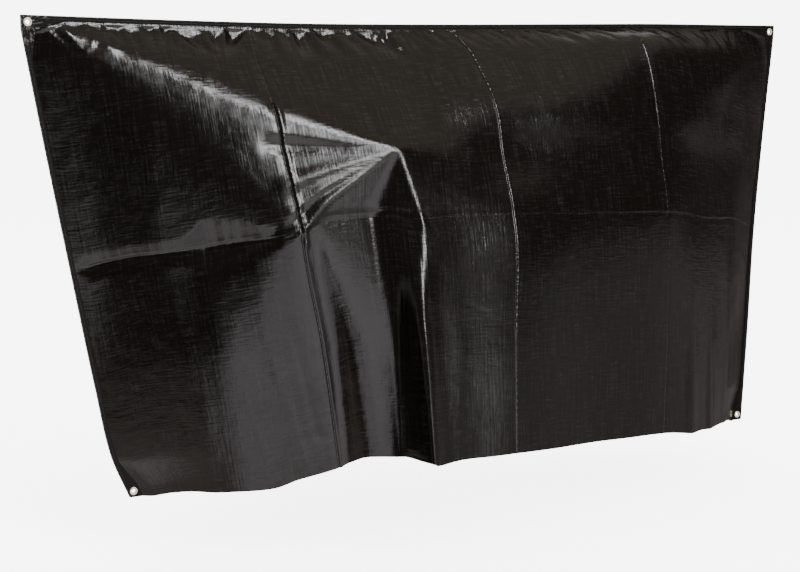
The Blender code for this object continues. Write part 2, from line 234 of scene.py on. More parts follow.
FRONT_FOLDS = (
    Fold("first drag", 0.455, 0.820, 0.520, 1.270, 0.0026, 0.017, 0.6),
    Fold("second drag", 0.520, 0.760, 0.556, 1.180, -0.0020, 0.015, 0.5),
    Fold("third drag", 0.390, 0.980, 0.440, 1.270, 0.0020, 0.015, 0.6),
    Fold("first wave", 1.925, 0.700, 1.930, 1.280, 0.0050, 0.042, 0.9),
    Fold("second wave", 2.035, 0.780, 2.040, 1.280, 0.0055, 0.034, 0.9),
    Fold("third wave", 2.140, 0.700, 2.150, 1.280, 0.0050, 0.038, 0.9),
)

BACK_SECTIONS = (
    LEFT_END,
    Section("left slack", 0.250, 0.045, 0.118, 0.140, 0.150, 0.178, 0.190, 0.045, 0.090, 0.150, 0.008),
    Section("quarter crease", 0.600, 0.060, 0.190, 0.240, 0.300, 0.340, 0.375, 0.006, 0.040, 0.085, 0.000),
    Section("peak line", 0.780, 0.066, 0.205, 0.270, 0.350, 0.430, 0.490, -0.004, 0.014, 0.040, 0.004),
    Section("middle crease", 1.200, 0.085, 0.225, 0.280, 0.350, 0.425, 0.480, -0.006, -0.012, -0.020, 0.000),
    Section("right flat", 1.500, 0.090, 0.215, 0.255, 0.310, 0.375, 0.425, -0.010, -0.024, -0.040, -0.004),
    Section("last crease", 1.800, 0.088, 0.175, 0.210, 0.262, 0.312, 0.350, -0.016, -0.034, -0.056, -0.004),
    Section("right slack", 2.150, 0.056, 0.090, 0.100, 0.130, 0.160, 0.182, -0.030, -0.044, -0.066, 0.018),
    RIGHT_END,
)

BACK_FOLDS = (
    Fold("tie ridge", 0.06, 0.05, 0.780, 0.440, 0.024, 0.110),
    Fold("peak down", 0.780, 0.440, 0.820, 0.800, 0.018, 0.080),
)

STORAGE_CREASES = (
    Crease("quarter groove", 0.600, 0.270, 0.600, 1.280, -0.0024, 0.0045, 0.0010),
    Crease("quarter top", 0.600, 0.000, 0.600, 0.300, -0.0010, 0.0050, 0.0008),
    Crease("quarter lip", 0.609, 0.290, 0.609, 0.680, 0.0034, 0.0055, 0.0000),
    Crease("middle", 1.200, 0.020, 1.200, 0.960, 0.0028, 0.0048, 0.0),
    Crease("middle foot", 1.200, 0.960, 1.200, 1.280, 0.0009, 0.0048, 0.0),
    Crease("last quarter", 1.800, 0.030, 1.800, 0.640, 0.0016, 0.0046, -0.0008),
    Crease("last quarter foot", 1.800, 0.640, 1.800, 1.280, -0.0009, 0.0046, -0.0003),
    Crease("half height left", 0.000, 0.640, 0.640, 0.640, -0.0010, 0.0060, 0.0012),
    Crease("half height fold", 0.640, 0.640, 0.905, 0.640, -0.0004, 0.0050, 0.0003),
    Crease("half height right", 0.905, 0.640, 2.400, 0.640, -0.0003, 0.0050, 0.0003),
)


def smooth_steps(knots: Sequence[float], values: Sequence[float], at: object) -> Array:
    """Monotone cubic curve through a short table.

    Args:
        knots: Places of the table, rising.
        values: Value at each place.
        at: Places asked for.

    Returns:
        The curve's value at each place asked for.
    """
    knots = np.asarray(knots, float)
    values = np.asarray(values, float)
    at = np.clip(np.asarray(at, float), knots[0], knots[-1])
    span = np.diff(knots)
    slope = np.diff(values) / span
    tangent = np.zeros_like(values)
    tangent[1:-1] = 0.5 * (slope[:-1] + slope[1:])
    turn = slope[:-1] * slope[1:] <= 0
    tangent[1:-1][turn] = 0.0
    tangent[0] = slope[0]
    tangent[-1] = slope[-1]
    steep = np.abs(slope)
    limit = 3 * np.minimum(np.append(steep, steep[-1]), np.insert(steep, 0, steep[0]))
    tangent = np.clip(tangent, -limit, limit)
    cell = np.clip(np.searchsorted(knots, at, side="right") - 1, 0, len(span) - 1)
    t = (at - knots[cell]) / span[cell]
    h = span[cell]
    return ((1 + 2 * t) * (1 - t) ** 2 * values[cell] + t * (1 - t) ** 2 * h * tangent[cell]
            + t * t * (3 - 2 * t) * values[cell + 1] - t * t * (1 - t) * h * tangent[cell + 1])


def soft(value: Array) -> Array:
    """Smooth step of a value clipped to 0 and 1."""
    value = np.clip(value, 0.0, 1.0)
    return value * value * (3 - 2 * value)


def against(u: Array, v: Array, start: Pair,
            end: Pair) -> tuple[Array, Array]:
    """Where points of the flat sheet lie against an endless line on it.

    Args:
        u: Distances along the ridge.
        v: Distances down from the ridge edge.
        start: Place where the share is 0.
        end: Place where the share is 1.

    Returns:
        Share along the line, and signed distance across it.
    """
    du, dv = end[0] - start[0], end[1] - start[1]
    square = du * du + dv * dv
    share = ((u - start[0]) * du + (v - start[1]) * dv) / square
    return share, ((u - start[0]) * dv - (v - start[1]) * du) / math.sqrt(square)


def to_line(u: Array, v: Array,
            line: Fold | Crease) -> tuple[Array, Array, Array]:
    """Where points of the flat sheet lie against a fold or crease.

    Returns:
        Share along the line, distance from it, and signed distance across it.
    """
    share, across = against(u, v, (line.u0, line.v0), (line.u1, line.v1))
    share = np.clip(share, 0.0, 1.0)
    away = np.hypot(u - line.u0 - share * (line.u1 - line.u0),
                    v - line.v0 - share * (line.v1 - line.v0))
    return share, away, across


def net(u: Array, v: Array, knots: dict[str, Knot], fans: Sequence[tuple[str, ...]],
        blur: Array) -> Array:
    """Height of a net of flat facets, rounded at its edges.

    Args:
        u: Distances along the ridge.
        v: Distances down from the ridge edge.
        knots: Corners of the facets.
        fans: Knots of each fan of facets, its hub first.
        blur: Rounding radius at each point.

    Returns:
        Height at each point.
    """
    turns, rings, inset, slack = 8, (0.5, 1.0), 1e-4, 1e-9
    angles = np.arange(turns) * math.tau / turns
    discs = [(0.0, 0.0)] + [(r * math.cos(a + r), r * math.sin(a + r))
                            for r in rings for a in angles]
    places = [(knot.at, knot.down) for knot in knots.values()]
    low, high = np.min(places, axis=0) + inset, np.max(places, axis=0) - inset
    facets = [(fan[0], *pair) for fan in fans for pair in zip(fan[1:], fan[2:])]
    total = np.zeros_like(u)
    inside = np.zeros_like(u)
    for du, dv in discs:
        x = np.clip(u + du * blur, low[0], high[0])
        y = np.clip(v + dv * blur, low[1], high[1])
        value = np.zeros_like(u)
        found = np.zeros(u.shape, bool)
        for names in facets:
            a, b, c = (knots[name] for name in names)
            area = (b.at - a.at) * (c.down - a.down) - (c.at - a.at) * (b.down - a.down)
            second = ((x - a.at) * (c.down - a.down) - (c.at - a.at) * (y - a.down)) / area
            third = ((b.at - a.at) * (y - a.down) - (x - a.at) * (b.down - a.down)) / area
            hit = (second >= -slack) & (third >= -slack) & (second + third <= 1 + slack) & ~found
            value = np.where(hit, a.out + second * (b.out - a.out) + third * (c.out - a.out), value)
            found |= hit
        total += value
        inside += found
    return total / np.maximum(inside, 1)


@dataclass(frozen=True)
class Cut:
    """Sizes of the flat bag and of its seams, in metres, and how the seams hang."""

    length: float = 2.400
    height: float = 1.280
    ridge_length: float = 2.372
    sheet: float = 0.0015
    gap: float = 0.0003
    ridge_band: float = 0.012
    side_band: float = 0.014
    corner: float = 0.036
    flare: float = 0.075
    ridge_top: float = 0.050
    eyelet_inset: float = 0.0178
    lean_left: Curve = Curve((0.00, 0.25, 0.50, 0.75, 0.90, 1.00),
                             (0.000, 0.050, 0.102, 0.155, 0.191, 0.237))
    lean_right: Curve = Curve((0.00, 0.25, 0.50, 0.75, 0.90, 1.00),
                              (0.000, -0.028, -0.050, -0.060, -0.068, -0.074))
    dip: Curve = Curve((0.00, 0.40, 0.80, 1.20, 1.60, 2.00, 2.40),
                       (0.000, 0.008, 0.012, 0.009, 0.003, -0.002, -0.002))

    @property
    def strip(self) -> float:
        """Thickness of both layers pressed together."""
        return 2 * self.sheet + self.gap

    @property
    def side_length(self) -> float:
        """Length of a side strip below its top corner."""
        return self.height - self.corner

    def lean(self, right: bool, share: object) -> Array:
        """How far a side seam leans in, by share of the height."""
        return (self.lean_right if right else self.lean_left)(share)

    @staticmethod
    def fall(depth: Array, leaned: Array) -> Array:
        """How far each point of a leaning seam hangs below its first one."""
        steps = np.sqrt(np.diff(depth) ** 2 - np.diff(leaned) ** 2)
        return np.concatenate([[0.0], np.cumsum(steps)])

    def side_width(self, depth: object) -> Array:
        """Width of a side strip at a distance below the ridge edge."""
        depth = np.asarray(depth, float)
        top = 1 - (depth - self.corner) / self.flare
        foot = 1 - (self.height - self.corner - depth) / self.flare
        grow = np.clip(np.maximum(top, foot), 0.0, 1.0)
        return self.side_band + (self.corner - self.side_band) * grow

    def ridge_height(self, along: object) -> Array:
        """Height of the ridge strip at a distance along the ridge."""
        along = np.asarray(along, float)
        end = np.minimum(along, self.length - along)
        grow = np.clip(1 - (end - self.corner) / self.flare, 0.0, 1.0)
        return self.ridge_band + (self.corner - self.ridge_band) * grow

    def ridge_x(self, along: object) -> Array:
        """Place along X of a point of the gathered ridge."""
        along = np.asarray(along, float)
        share = (along - self.corner) / (self.length - 2 * self.corner)
        middle = (share - 0.5) * (self.ridge_length - 2 * self.corner)
        middle = np.where(along < self.corner, along - self.ridge_length / 2, middle)
        return np.where(along > self.length - self.corner,
                        along - self.length + self.ridge_length / 2, middle)


def spaced(stops: Sequence[Pair]) -> Array:
    """Stations whose spacing follows a table.

    Args:
        stops: (place, wanted spacing from there to the next place) pairs.

    Returns:
        Places from the first to the last stop.
    """
    places = [np.array([stops[0][0]])]
    for (start, gap), (end, _) in zip(stops[:-1], stops[1:]):
        cells = max(1, round((end - start) / gap))
        places.append(start + (end - start) * np.arange(1, cells + 1) / cells)
    return np.concatenate(places)


# ---------------------------------------------------------------------------------------
# Shader graphs
# ---------------------------------------------------------------------------------------
def operation(kind: str, swapped: bool = False) -> Callable[..., "Signal"]:
    """A method that adds a Math node.

    Args:
        kind: The node's operation.
        swapped: Whether the signal comes after the other value.

    Returns:
        The method.
    """
    def method(self: "Signal", *others: object) -> "Signal":
        """The result of the operation."""
        values = (*others, self) if swapped else (self, *others)
        return self.graph.node("ShaderNodeMath", {"operation": kind}, dict(enumerate(values)))
    return method


class Signal:
    """A socket with arithmetic; each operation on values adds a Math node."""

    def __init__(self, graph: "Graph", socket: bpy.types.NodeSocket) -> None:
        """Wraps one output socket of a graph."""
        self.graph = graph
        self.socket = socket

    __add__ = __radd__ = operation("ADD")
    __sub__ = operation("SUBTRACT")
    __rsub__ = operation("SUBTRACT", swapped=True)
    __mul__ = __rmul__ = operation("MULTIPLY")
    __abs__ = operation("ABSOLUTE")
    sine = operation("SINE")
    power = operation("POWER")
    most = operation("MAXIMUM")
    arcsine = operation("ARCSINE")
    arctan2 = operation("ARCTAN2")

    def clamp(self, low: float, high: float) -> "Signal":
        """Smooth share of the way from low to high."""
        return self.graph.node("ShaderNodeMapRange", {"interpolation_type": "SMOOTHSTEP"},
                               {"Value": self, "From Min": low, "From Max": high})

    def window(self, low: float, high: float, edge: float) -> "Signal":
        """1 between low and high, with soft edges, and 0 outside."""
        return self.clamp(low - edge, low + edge) * (1.0 - self.clamp(high - edge, high + edge))


class Graph:
    """Builds one node tree."""

    def __init__(self, tree: bpy.types.NodeTree) -> None:
        """Empties the tree."""
        self.tree = tree
        tree.nodes.clear()

    def node(self, kind: str, settings: dict | None = None, inputs: dict | None = None,
             output: int | str = 0) -> Signal:
        """Adds a node.

        Args:
            kind: Node type.
            settings: Its own settings, set first; a ramp's stops go under "stops".
            inputs: Values or signals for its sockets, by name or index.
            output: The socket that is handed back.

        Returns:
            The chosen output as a signal.
        """
        made = self.tree.nodes.new(kind)
        for key, value in (settings or {}).items():
            if key == "stops":
                ramp = made.color_ramp
                while len(ramp.elements) < len(value):
                    ramp.elements.new(0.5)
                for element, (place, colour) in zip(ramp.elements, value):
                    element.position = place
                    element.color = colour
            else:
                setattr(made, key, value)
        for key, value in (inputs or {}).items():
            socket = made.inputs[key]
            if isinstance(value, Signal):
                self.tree.links.new(value.socket, socket)
            else:
                socket.default_value = value
        return Signal(self, made.outputs[output])

    def noise(self, vector: Signal, scale: float, rough: float = 0.5,
              detail: float = 3.0) -> Signal:
        """Noise from 0 to 1."""
        return self.node("ShaderNodeTexNoise", None,
                         {"Vector": vector, "Scale": scale, "Detail": detail, "Roughness": rough})

    def stretch(self, vector: Signal, by: tuple[float, float, float]) -> Signal:
        """Vector times a fixed vector."""
        return self.node("ShaderNodeVectorMath", {"operation": "MULTIPLY"}, {0: vector, 1: by})

    def blend(self, factor: object, first: object, second: object) -> Signal:
        """Mix of two colours."""
        return self.node("ShaderNodeMix", {"data_type": "RGBA"},
                         {0: factor, 6: first, 7: second}, 2)

    def parts(self, vector: Signal) -> tuple[Signal, Signal, Signal]:
        """The three parts of a vector."""
        made = self.node("ShaderNodeSeparateXYZ", None, {0: vector})
        outputs = made.socket.node.outputs
        return Signal(self, outputs[0]), Signal(self, outputs[1]), Signal(self, outputs[2])

    def bump(self, height: Signal) -> Signal:
        """Bump from a height in metres."""
        return self.node("ShaderNodeBump", None,
                         {"Height": height, "Strength": 1.0, "Distance": 1.0})

    def end(self, kind: str, result: Signal) -> None:
        """Adds the tree's output node."""
        self.tree.links.new(result.socket, self.tree.nodes.new(kind).inputs[0])


def new_material(name: str) -> tuple[bpy.types.Material, Graph]:
    """An empty material and its graph."""
    material = bpy.data.materials.new(name)
    material.use_nodes = True
    return material, Graph(material.node_tree)


def finish_material(graph: Graph, inputs: dict) -> None:
    """Adds the surface shader and the output."""
    graph.end("ShaderNodeOutputMaterial", graph.node("ShaderNodeBsdfPrincipled", None, inputs))


@dataclass(frozen=True)
class CoatedWeave:
    """Black woven polyethylene tape under a thin clear coat, creased by storage, with paler colour along its
    creases and edges: partly stress whitening, partly painted glint.
    """

    name: str
    tape: float = 0.0024
    body: Colour = (0.0040, 0.0032, 0.0025, 1.0)
    worn: Colour = (0.040, 0.038, 0.038, 1.0)
    # Pale colour for creases, strip edges and eyelet wrinkles: partly stress whitening, partly painted
    # glints.
    stress_white_and_glint: Colour = (0.200, 0.200, 0.206, 1.0)
    warp_run: float = 18.0
    weft_run: float = 46.0
    weave: float = 0.00003
    ribs: float = 0.00046
    broad: Pair = (6.0, 0.0034)
    medium: Pair = (30.0, 0.0007)
    crinkle: float = 1.0
    gloss: float = 0.13
    streak: float = 0.10
    clear: float = 1.51
    dust: float = 0.30
    crease_edge: Pair = (0.0004, 0.0018)
    crease_full: float = 0.0028
    crease_end: float = 0.002
    strip_edge: Pair = (0.0010, 0.0036)
    eyelet: float = Cut.eyelet_inset
    length: float = Cut.length
    creased: bool = True

    def material(self) -> bpy.types.Material:
        """The finish as a material that reads the cloth's own flat coordinates."""
        material, graph = new_material(self.name)
        flat = graph.node("ShaderNodeUVMap", {"uv_map": "flat"})
        u, v, _ = graph.parts(flat)
        warp, weft = (graph.noise(graph.stretch(flat, by), 0.42, rough=0.62) for by in (
            (1 / self.tape, self.warp_run, 0.0), (self.weft_run, 1 / self.tape, 0.0)))
        over = (u * (math.pi / self.tape)).sine() * (v * (math.pi / self.tape)).sine()
        height = over * self.weave + warp * self.ribs + weft * self.ribs
        for scale, rise in (self.broad, self.medium):
            height = height + graph.noise(flat, scale) * (rise * self.crinkle)
        wear = (warp * weft * 4.0 - 0.9).clamp(0.0, 0.9)
        if self.creased:
            # Paler colour along the creases: partly stress whitening, partly painted glints.
            crease = self.crease_white_and_glint_mask(u, v) * graph.noise(flat, 110.0, rough=0.6).clamp(0.46, 0.62)
        else:
            # Pale line along the strip edges: a painted highlight.
            edge = (1.0 - v.clamp(*self.strip_edge)).most(1.0 - u.clamp(*self.strip_edge))
            far = u.clamp(self.length - self.strip_edge[1], self.length - self.strip_edge[0])
            edge = edge.most(far) * graph.noise(flat, 60.0, rough=0.6).clamp(0.30, 0.62)
            # Pale eyelet wrinkles: partly stress whitening, partly painted glints.
            crease = edge * 0.55 + self.eyelet_wrinkle_white_and_glint(graph, u, v)
        colour = graph.blend(wear * self.dust, self.body, self.worn)
        # Blends in the paler colour: partly stress whitening, partly painted glints.
        colour = graph.blend(crease * 0.8, colour, self.stress_white_and_glint)
        rough = self.gloss + (warp + weft - 1.0) * self.streak + crease * 0.10
        finish_material(graph, {
            "Base Color": colour,
            "Roughness": rough,
            "Normal": graph.bump(height),
            "IOR": self.clear,
        })
        return material

    def eyelet_wrinkle_white_and_glint(self, graph: Graph, u: Signal, v: Signal) -> Signal:
        """Pale wrinkles that run from the tied eyelet into the ridge seam: partly stress whitening, partly
        painted glints.
        """
        du, dv = u - self.eyelet, v - self.eyelet
        away = (du * du + dv * dv).power(0.5)
        turn = dv.arctan2(du)
        spread = graph.node("ShaderNodeCombineXYZ", None, {0: turn * 1.6, 1: away * 22.0})
        folds = graph.noise(spread, 2.4, rough=0.6).clamp(0.50, 0.66)
        return folds * away.clamp(0.008, 0.013) * (1.0 - away.clamp(0.020, 0.075))

    def crease_white_and_glint_mask(self, u: Signal, v: Signal) -> Signal:
        """Where the storage creases run, for a paler colour there that is partly stress whitening and partly
        painted glint, stronger where they stand out more.
        """
        mask = None
        for crease in STORAGE_CREASES:
            du, dv = crease.u1 - crease.u0, crease.v1 - crease.v0
            size = math.hypot(du, dv)
            across = (u - crease.u0) * (dv / size) - (v - crease.v0) * (du / size)
            along = (u - crease.u0) * (du / size) + (v - crease.v0) * (dv / size)
            line = 1.0 - abs(across).clamp(*self.crease_edge)
            line = line * along.window(0.0, size, self.crease_end)
            # The painted glint is stronger on raised creases than in troughs.
            line = line * min(1.0, 0.05 + max(0.3 * -crease.rise, crease.rise) / self.crease_full)
            mask = line if mask is None else mask.most(line)
        return mask


@dataclass(frozen=True)
class PlatedBrass:
    """Pale plated brass of the eyelets, spotted with tarnish."""

    name: str
    colour: Colour = (0.90, 0.86, 0.72, 1.0)
    tarnish: Colour = (0.42, 0.36, 0.20, 1.0)

    def material(self) -> bpy.types.Material:
        """The finish as a material."""
        material, graph = new_material(self.name)
        place = graph.node("ShaderNodeTexCoord", None, None, "Object")
        spots = graph.noise(place, 420.0, rough=0.6, detail=4.0)
        fine = graph.noise(place, 1600.0, detail=2.0)
        finish_material(graph, {
            "Base Color": graph.blend(spots.clamp(0.46, 0.72) * 0.6, self.colour, self.tarnish),
            "Metallic": 0.60,
            "Roughness": 0.34 + spots * 0.16,
            "Normal": graph.bump(fine * 0.00003 + spots * 0.00006),
        })
        return material


@dataclass(frozen=True)
class SewingThread:
    """Black bonded polyester thread."""

    name: str
    colour: Colour = (0.018, 0.017, 0.017, 1.0)

    def material(self) -> bpy.types.Material:
        """The finish as a material."""
        material, graph = new_material(self.name)
        place = graph.node("ShaderNodeTexCoord", None, None, "Object")
        ply = graph.noise(place, 1500.0, rough=0.6)
        finish_material(graph, {
            "Base Color": graph.blend(ply, self.colour, (0.05, 0.048, 0.046, 1.0)),
            "Roughness": 0.42 + ply * 0.2,
            "Normal": graph.bump(ply * 0.00008),
        })
        return material


# ---------------------------------------------------------------------------------------
# Mesh helpers
# ---------------------------------------------------------------------------------------
def placed(name: str, data: bpy.types.ID) -> bpy.types.Object:
    """Puts a mesh, curve, light or camera into the scene."""
    thing = bpy.data.objects.new(name, data)
    bpy.context.scene.collection.objects.link(thing)
    return thing


def new_piece(name: str, vertices: Array, faces: Array | list, material: bpy.types.Material,
              flat: Array | None = None, smooth: bool = True) -> bpy.types.Object:
    """A closed mesh object with its place in its mesh.

    Args:
        name: Object name.
        vertices: Points in the row frame.
        faces: Vertex loops.
        material: Its finish.
        flat: The place of each vertex on the flat sheet, for the weave.
        smooth: Smooth shading.

    Returns:
        The object.
    """
    mesh = bpy.data.meshes.new(name)
    mesh.from_pydata(np.asarray(vertices, float).tolist(), [], [list(map(int, f)) for f in faces])
    if flat is not None:
        layer = mesh.uv_layers.new(name="flat")
        index = np.zeros(len(mesh.loops), dtype=np.int32)
        mesh.loops.foreach_get("vertex_index", index)
        layer.data.foreach_set("uv", np.asarray(flat, np.float32)[index].ravel())
    mesh.materials.append(material)
    mesh.polygons.foreach_set("use_smooth", [smooth] * len(mesh.polygons))
    mesh.update()
    return placed(name, mesh)


def dress(piece: bpy.types.Object, node: str) -> None:
    """Hides the CAD node that a piece stands for, and hangs the piece on the root."""
    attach(piece, "root")
    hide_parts(node)


def outward(piece: bpy.types.Object) -> None:
    """Turns all faces of a closed mesh outwards."""
    work = bmesh.new()
    work.from_mesh(piece.data)
    bmesh.ops.recalc_face_normals(work, faces=work.faces)
    work.to_mesh(piece.data)
    work.free()


# ---------------------------------------------------------------------------------------
# Sub-assemblies
# ---------------------------------------------------------------------------------------
@dataclass(frozen=True)
class Rounding:
    """How the net of taut facets is rounded, and how softly it gives way to the slack cloth."""

    sharp: float = 0.006
    growth: float = 0.16
    free: float = 0.05
    reach: float = 0.36
    lee: float = 0.035
    lee_slope: float = 0.205
    lee_start: float = 0.008
    lee_fade: float = 0.05
    seam_growth: float = 0.6
    end_growth: float = 0.9
    least: float = 1e-4
    right: float = 1.20
    right_fade: float = 0.22
    foot: float = 0.642
    foot_fade: float = 0.010
    slack_fade: float = 0.025
    slack_from: float = 0.60
    slack_reach: float = 0.10

    def radius(self, du: Array, dv: Array, seam: Array, end: Array) -> Array:
        """Rounding radius by offset from the peak and by distance from the seam and the end."""
        blur = self.sharp + self.growth * np.clip(np.hypot(du, dv) - self.free, 0.0, self.reach)
        blur = blur + self.lee * soft((du - self.lee_slope * dv - self.lee_start) / self.lee_fade)
        most = np.minimum(self.seam_growth * seam, self.end_growth * end)
        return np.minimum(blur, most + self.least)

    def share(self, along: Array, down: Array) -> Array:
        """How far the facets decide the height at each point."""
        fade = self.foot_fade + self.slack_fade * soft((along - self.slack_from) / self.slack_reach)
        return soft((self.right - along) / self.right_fade) * soft((self.foot - down) / fade)


@dataclass(frozen=True)
class Lip:
    """The slack lip that hangs over the left end of the half-height crease."""

    line: float = 0.640
    crest: float = 0.385
    left: float = 0.085
    right: float = 0.150
    low: float = 0.028
    high: float = 0.044
    ripples: tuple[tuple[float, float, float], ...] = ((0.07, 67.0, 2.0), (0.05, 211.0, 0.0))
    under: float = 1.2
    depth: float = 0.27
    start: float = 0.03
    start_fade: float = 0.05
    end: float = 0.545
    end_fade: float = 0.012

    def sag(self, u: Array, v: Array) -> Array:
        """How far the sheet sinks above and under the crease."""
        wedge = 1 - np.maximum((self.crest - u) / self.left, (u - self.crest) / self.right)
        ripple = 1 + sum(size * np.sin(rate * u + turn) for size, rate, turn in self.ripples)
        tall = (self.low + self.high * soft(wedge)) * ripple
        fade = np.where(v > self.line, soft(1 - (v - self.line) / (self.under * tall)),
                        1 - np.clip((self.line - v) / tall, 0.0, 1.0))
        ends = soft((self.end - u) / self.end_fade) * soft((u - self.start) / self.start_fade)
        return self.depth * tall * fade * ends


@dataclass(frozen=True)
class Gathers:
    """Puckers under the gathered ridge seam, close together up to the peak."""

    seed: int
    hang: float = 0.044
    start: float = 0.05
    end: float = 0.06
    tied: float = 0.17
    tied_share: float = 0.45
    peak: float = 1.02
    far_share: float = 0.30
    hangs: Pair = (0.3, 1.0)
    widths: Pair = (0.010, 0.036)
    leans: Pair = (-0.6, 0.9)
    steeps: Pair = (0.14, 0.62)
    pitch: Pair = (0.008, 0.042)
    base: Pair = (0.18, 0.002)
    sharpness: float = 0.8
    fade_from: float = 0.012
    fade: float = 0.12

    def puckers(self, length: float) -> list[Pucker]:
        """Draws the puckers along a ridge of some length."""
        rng = np.random.default_rng(self.seed)
        found, place = [], self.start
        while place < length - self.end:
            share = 1.0 if place < self.peak else self.far_share
            share = self.tied_share if place < self.tied else share
            hang, width, lean, steep, step = (float(rng.uniform(*limits)) for limits in (
                self.hangs, self.widths, self.leans, self.steeps, self.pitch))
            found.append(Pucker(place, hang * self.hang * share, width, lean, steep))
            place += step
        return found

    def sag(self, length: float, u: Array, below: Array) -> Array:
        """How far the sheet sinks, by place along the ridge and distance below its strip."""
        drop = self.base[0] * np.minimum(below, self.base[1])
        for pucker in self.puckers(length):
            away = np.abs(u - pucker.place - pucker.lean * below) / pucker.width
            hang = pucker.hang * np.clip(1 - away, 0.0, 1.0) ** self.sharpness
            drop = np.maximum(drop, pucker.steep * np.minimum(below, hang))
        return drop * (1 - soft((below - self.fade_from) / self.fade))


@dataclass
class Panel:
    """One face of the bag, draped over a bicycle."""

    side: Side
    cut: Cut
    finish: CoatedWeave
    gathers: Gathers
    sections: tuple[Section, ...]
    folds: tuple[Fold, ...]
    fans: tuple[tuple[str, ...], ...] = ()
    knots: dict[str, Knot] = field(default_factory=dict)
    pleats: tuple[Pleat, ...] = ()
    drop: Curve = Curve((0.0, 1.0), (0.0, 0.0))
    coarse: float = 0.0087
    fine: float = 0.0018
    crease_columns: tuple[float, ...] = (0.60, 1.20, 1.80)
    crease_reach: float = 0.009
    row_stops: tuple[Pair, ...] = (
        (0.0, 0.0025), (0.075, 0.0065), (0.482, 0.0018), (0.508, 0.0085), (1.0, 0.0085))
    fold_fade: float = 0.15
    relief_fade: float = 0.012
    end_share: float = 0.1
    flare_share: float = 0.12
    least_fall: float = 0.3

    def stations(self) -> tuple[Array, Array]:
        """Columns along the ridge, and rows as shares of the height below the ridge strip."""
        stops = [(self.cut.corner, self.coarse)]
        for place in self.crease_columns:
            stops += [(place - self.crease_reach, self.fine), (place, self.fine),
                      (place + self.crease_reach, self.coarse)]
        stops.append((self.cut.length - self.cut.corner, self.coarse))
        return spaced(stops), spaced(self.row_stops)

    def along(self, name: str, u: Array) -> Array:
        """One value of the sections, between them."""
        values = [getattr(section, name) for section in self.sections]
        return smooth_steps([section.at for section in self.sections], values, u)

    def spread(self, levels: Sequence[float], fields: Sequence[str], u: Array,
               rows: Array) -> Array:
        """Values of the sections at some levels, between the sections and the levels."""
        table = np.array([np.zeros_like(u)] + [self.along(name, u) for name in fields])
        return np.stack([smooth_steps(levels, column, rows) for column in table.T], axis=1)

    def stand_out(self, u: Array, rows: Array, depth: Array) -> Array:
        """How far each point stands out of the ridge plane, without its small relief."""
        cut = self.cut
        out = self.spread(OUT_LEVELS, OUT_FIELDS, u, rows)
        along = np.broadcast_to(u, depth.shape)
        ridge = np.zeros_like(depth)
        trough = np.zeros_like(depth)
        for fold in self.folds:
            share, away, _ = to_line(along, depth, fold)
            rise = fold.rise * soft(1 - away / fold.width)
            if fold.swell:
                rise = rise * soft(share / fold.swell)
            ridge = np.maximum(ridge, rise)
            trough = np.minimum(trough, rise)
        edge = np.minimum(along - cut.corner, cut.length - cut.corner - along) / self.fold_fade
        edge = np.minimum(rows[:, None] / self.fold_fade, edge)
        out = out + (ridge + trough) * np.clip(edge, 0.0, 1.0)
        if not self.fans:
            return out
        peak, rounding = self.knots["peak"], Rounding()
        blur = rounding.radius(along - peak.at, depth - peak.down, depth - cut.ridge_height(u),
                               along - cut.corner)
        taut = net(along, depth, self.knots, self.fans, blur)
        return out + (taut - out) * rounding.share(along, depth)

    def relief(self, u: Array, v: Array) -> Array:
        """Small relief that stands on the draped sheet: creases, pleats and puckers."""
        cut = self.cut
        rise = np.zeros_like(u)
        for crease in STORAGE_CREASES:
            _, away, across = to_line(u, v, crease)
            rise += crease.rise * soft(1 - away / crease.width)
            rise += crease.step * across / crease.width * soft(1 - away / (3 * crease.width))
        if self.fans:
            rise -= Lip().sag(u, v)
        for pleat in self.pleats:
            start = self.knots[pleat.knot]
            share, across = against(u, v, (start.at, start.down), (pleat.at, pleat.down))
            reach = np.clip(share, 0.03, 1.15)
            fade = soft(share / 0.08) * soft((1.25 - share) / 0.25)
            rise += pleat.rise * reach * fade * soft(1 - np.abs(across) / (pleat.width * reach))
        below = v - cut.ridge_height(u[0])
        rise -= self.gathers.sag(cut.length, u, below)
        edge = np.minimum(below, np.minimum(u - cut.corner, cut.length - cut.corner - u))
        return rise * soft(edge / self.relief_fade)

    def surface(self) -> tuple[Array, Array]:
        """Middle points of the draped sheet, and their places on the flat one."""
        cut = self.cut
        u, rows = self.stations()
        top = cut.ridge_height(u)
        depth = top + rows[:, None] * (cut.height - top)
        out = self.stand_out(u, rows, depth)
        share = (u - cut.corner) / (cut.length - 2 * cut.corner)
        own = self.spread(IN_LEVELS, IN_FIELDS, u, rows)
        own = own + UPPER_DRIFT(u) * UPPER_DRIFT_SHARE(rows)[:, None]
        seam = (1 - share) * cut.lean(False, rows)[:, None] + share * cut.lean(True, rows)[:, None]
        inner = np.clip(np.minimum(share, 1 - share) / self.end_share, 0.0, 1.0)
        x = cut.ridge_x(u) + seam + (own - seam) * inner
        step = np.diff(rows)[:, None] * (cut.height - top)
        fall = step ** 2 - np.diff(x, axis=0) ** 2 - np.diff(out, axis=0) ** 2
        fall = np.sqrt(np.maximum(fall, (self.least_fall * step) ** 2))
        fall = np.vstack([np.zeros_like(u), np.cumsum(fall, axis=0)])
        z = cut.ridge_top - top - cut.dip(u) - fall
        z += self.along("lift", u) * LIFT_SHARE(rows)[:, None]
        z -= self.drop(u) * HEM_DROP_SHARE(rows)[:, None]
        widen = cut.side_width(depth) - cut.corner
        x += widen * (np.clip(1 - share / self.flare_share, 0, 1)
                      - np.clip(1 - (1 - share) / self.flare_share, 0, 1))
        flat = np.stack([np.broadcast_to(u, depth.shape), depth], axis=2)
        return np.stack([x, -out, z], axis=2), flat

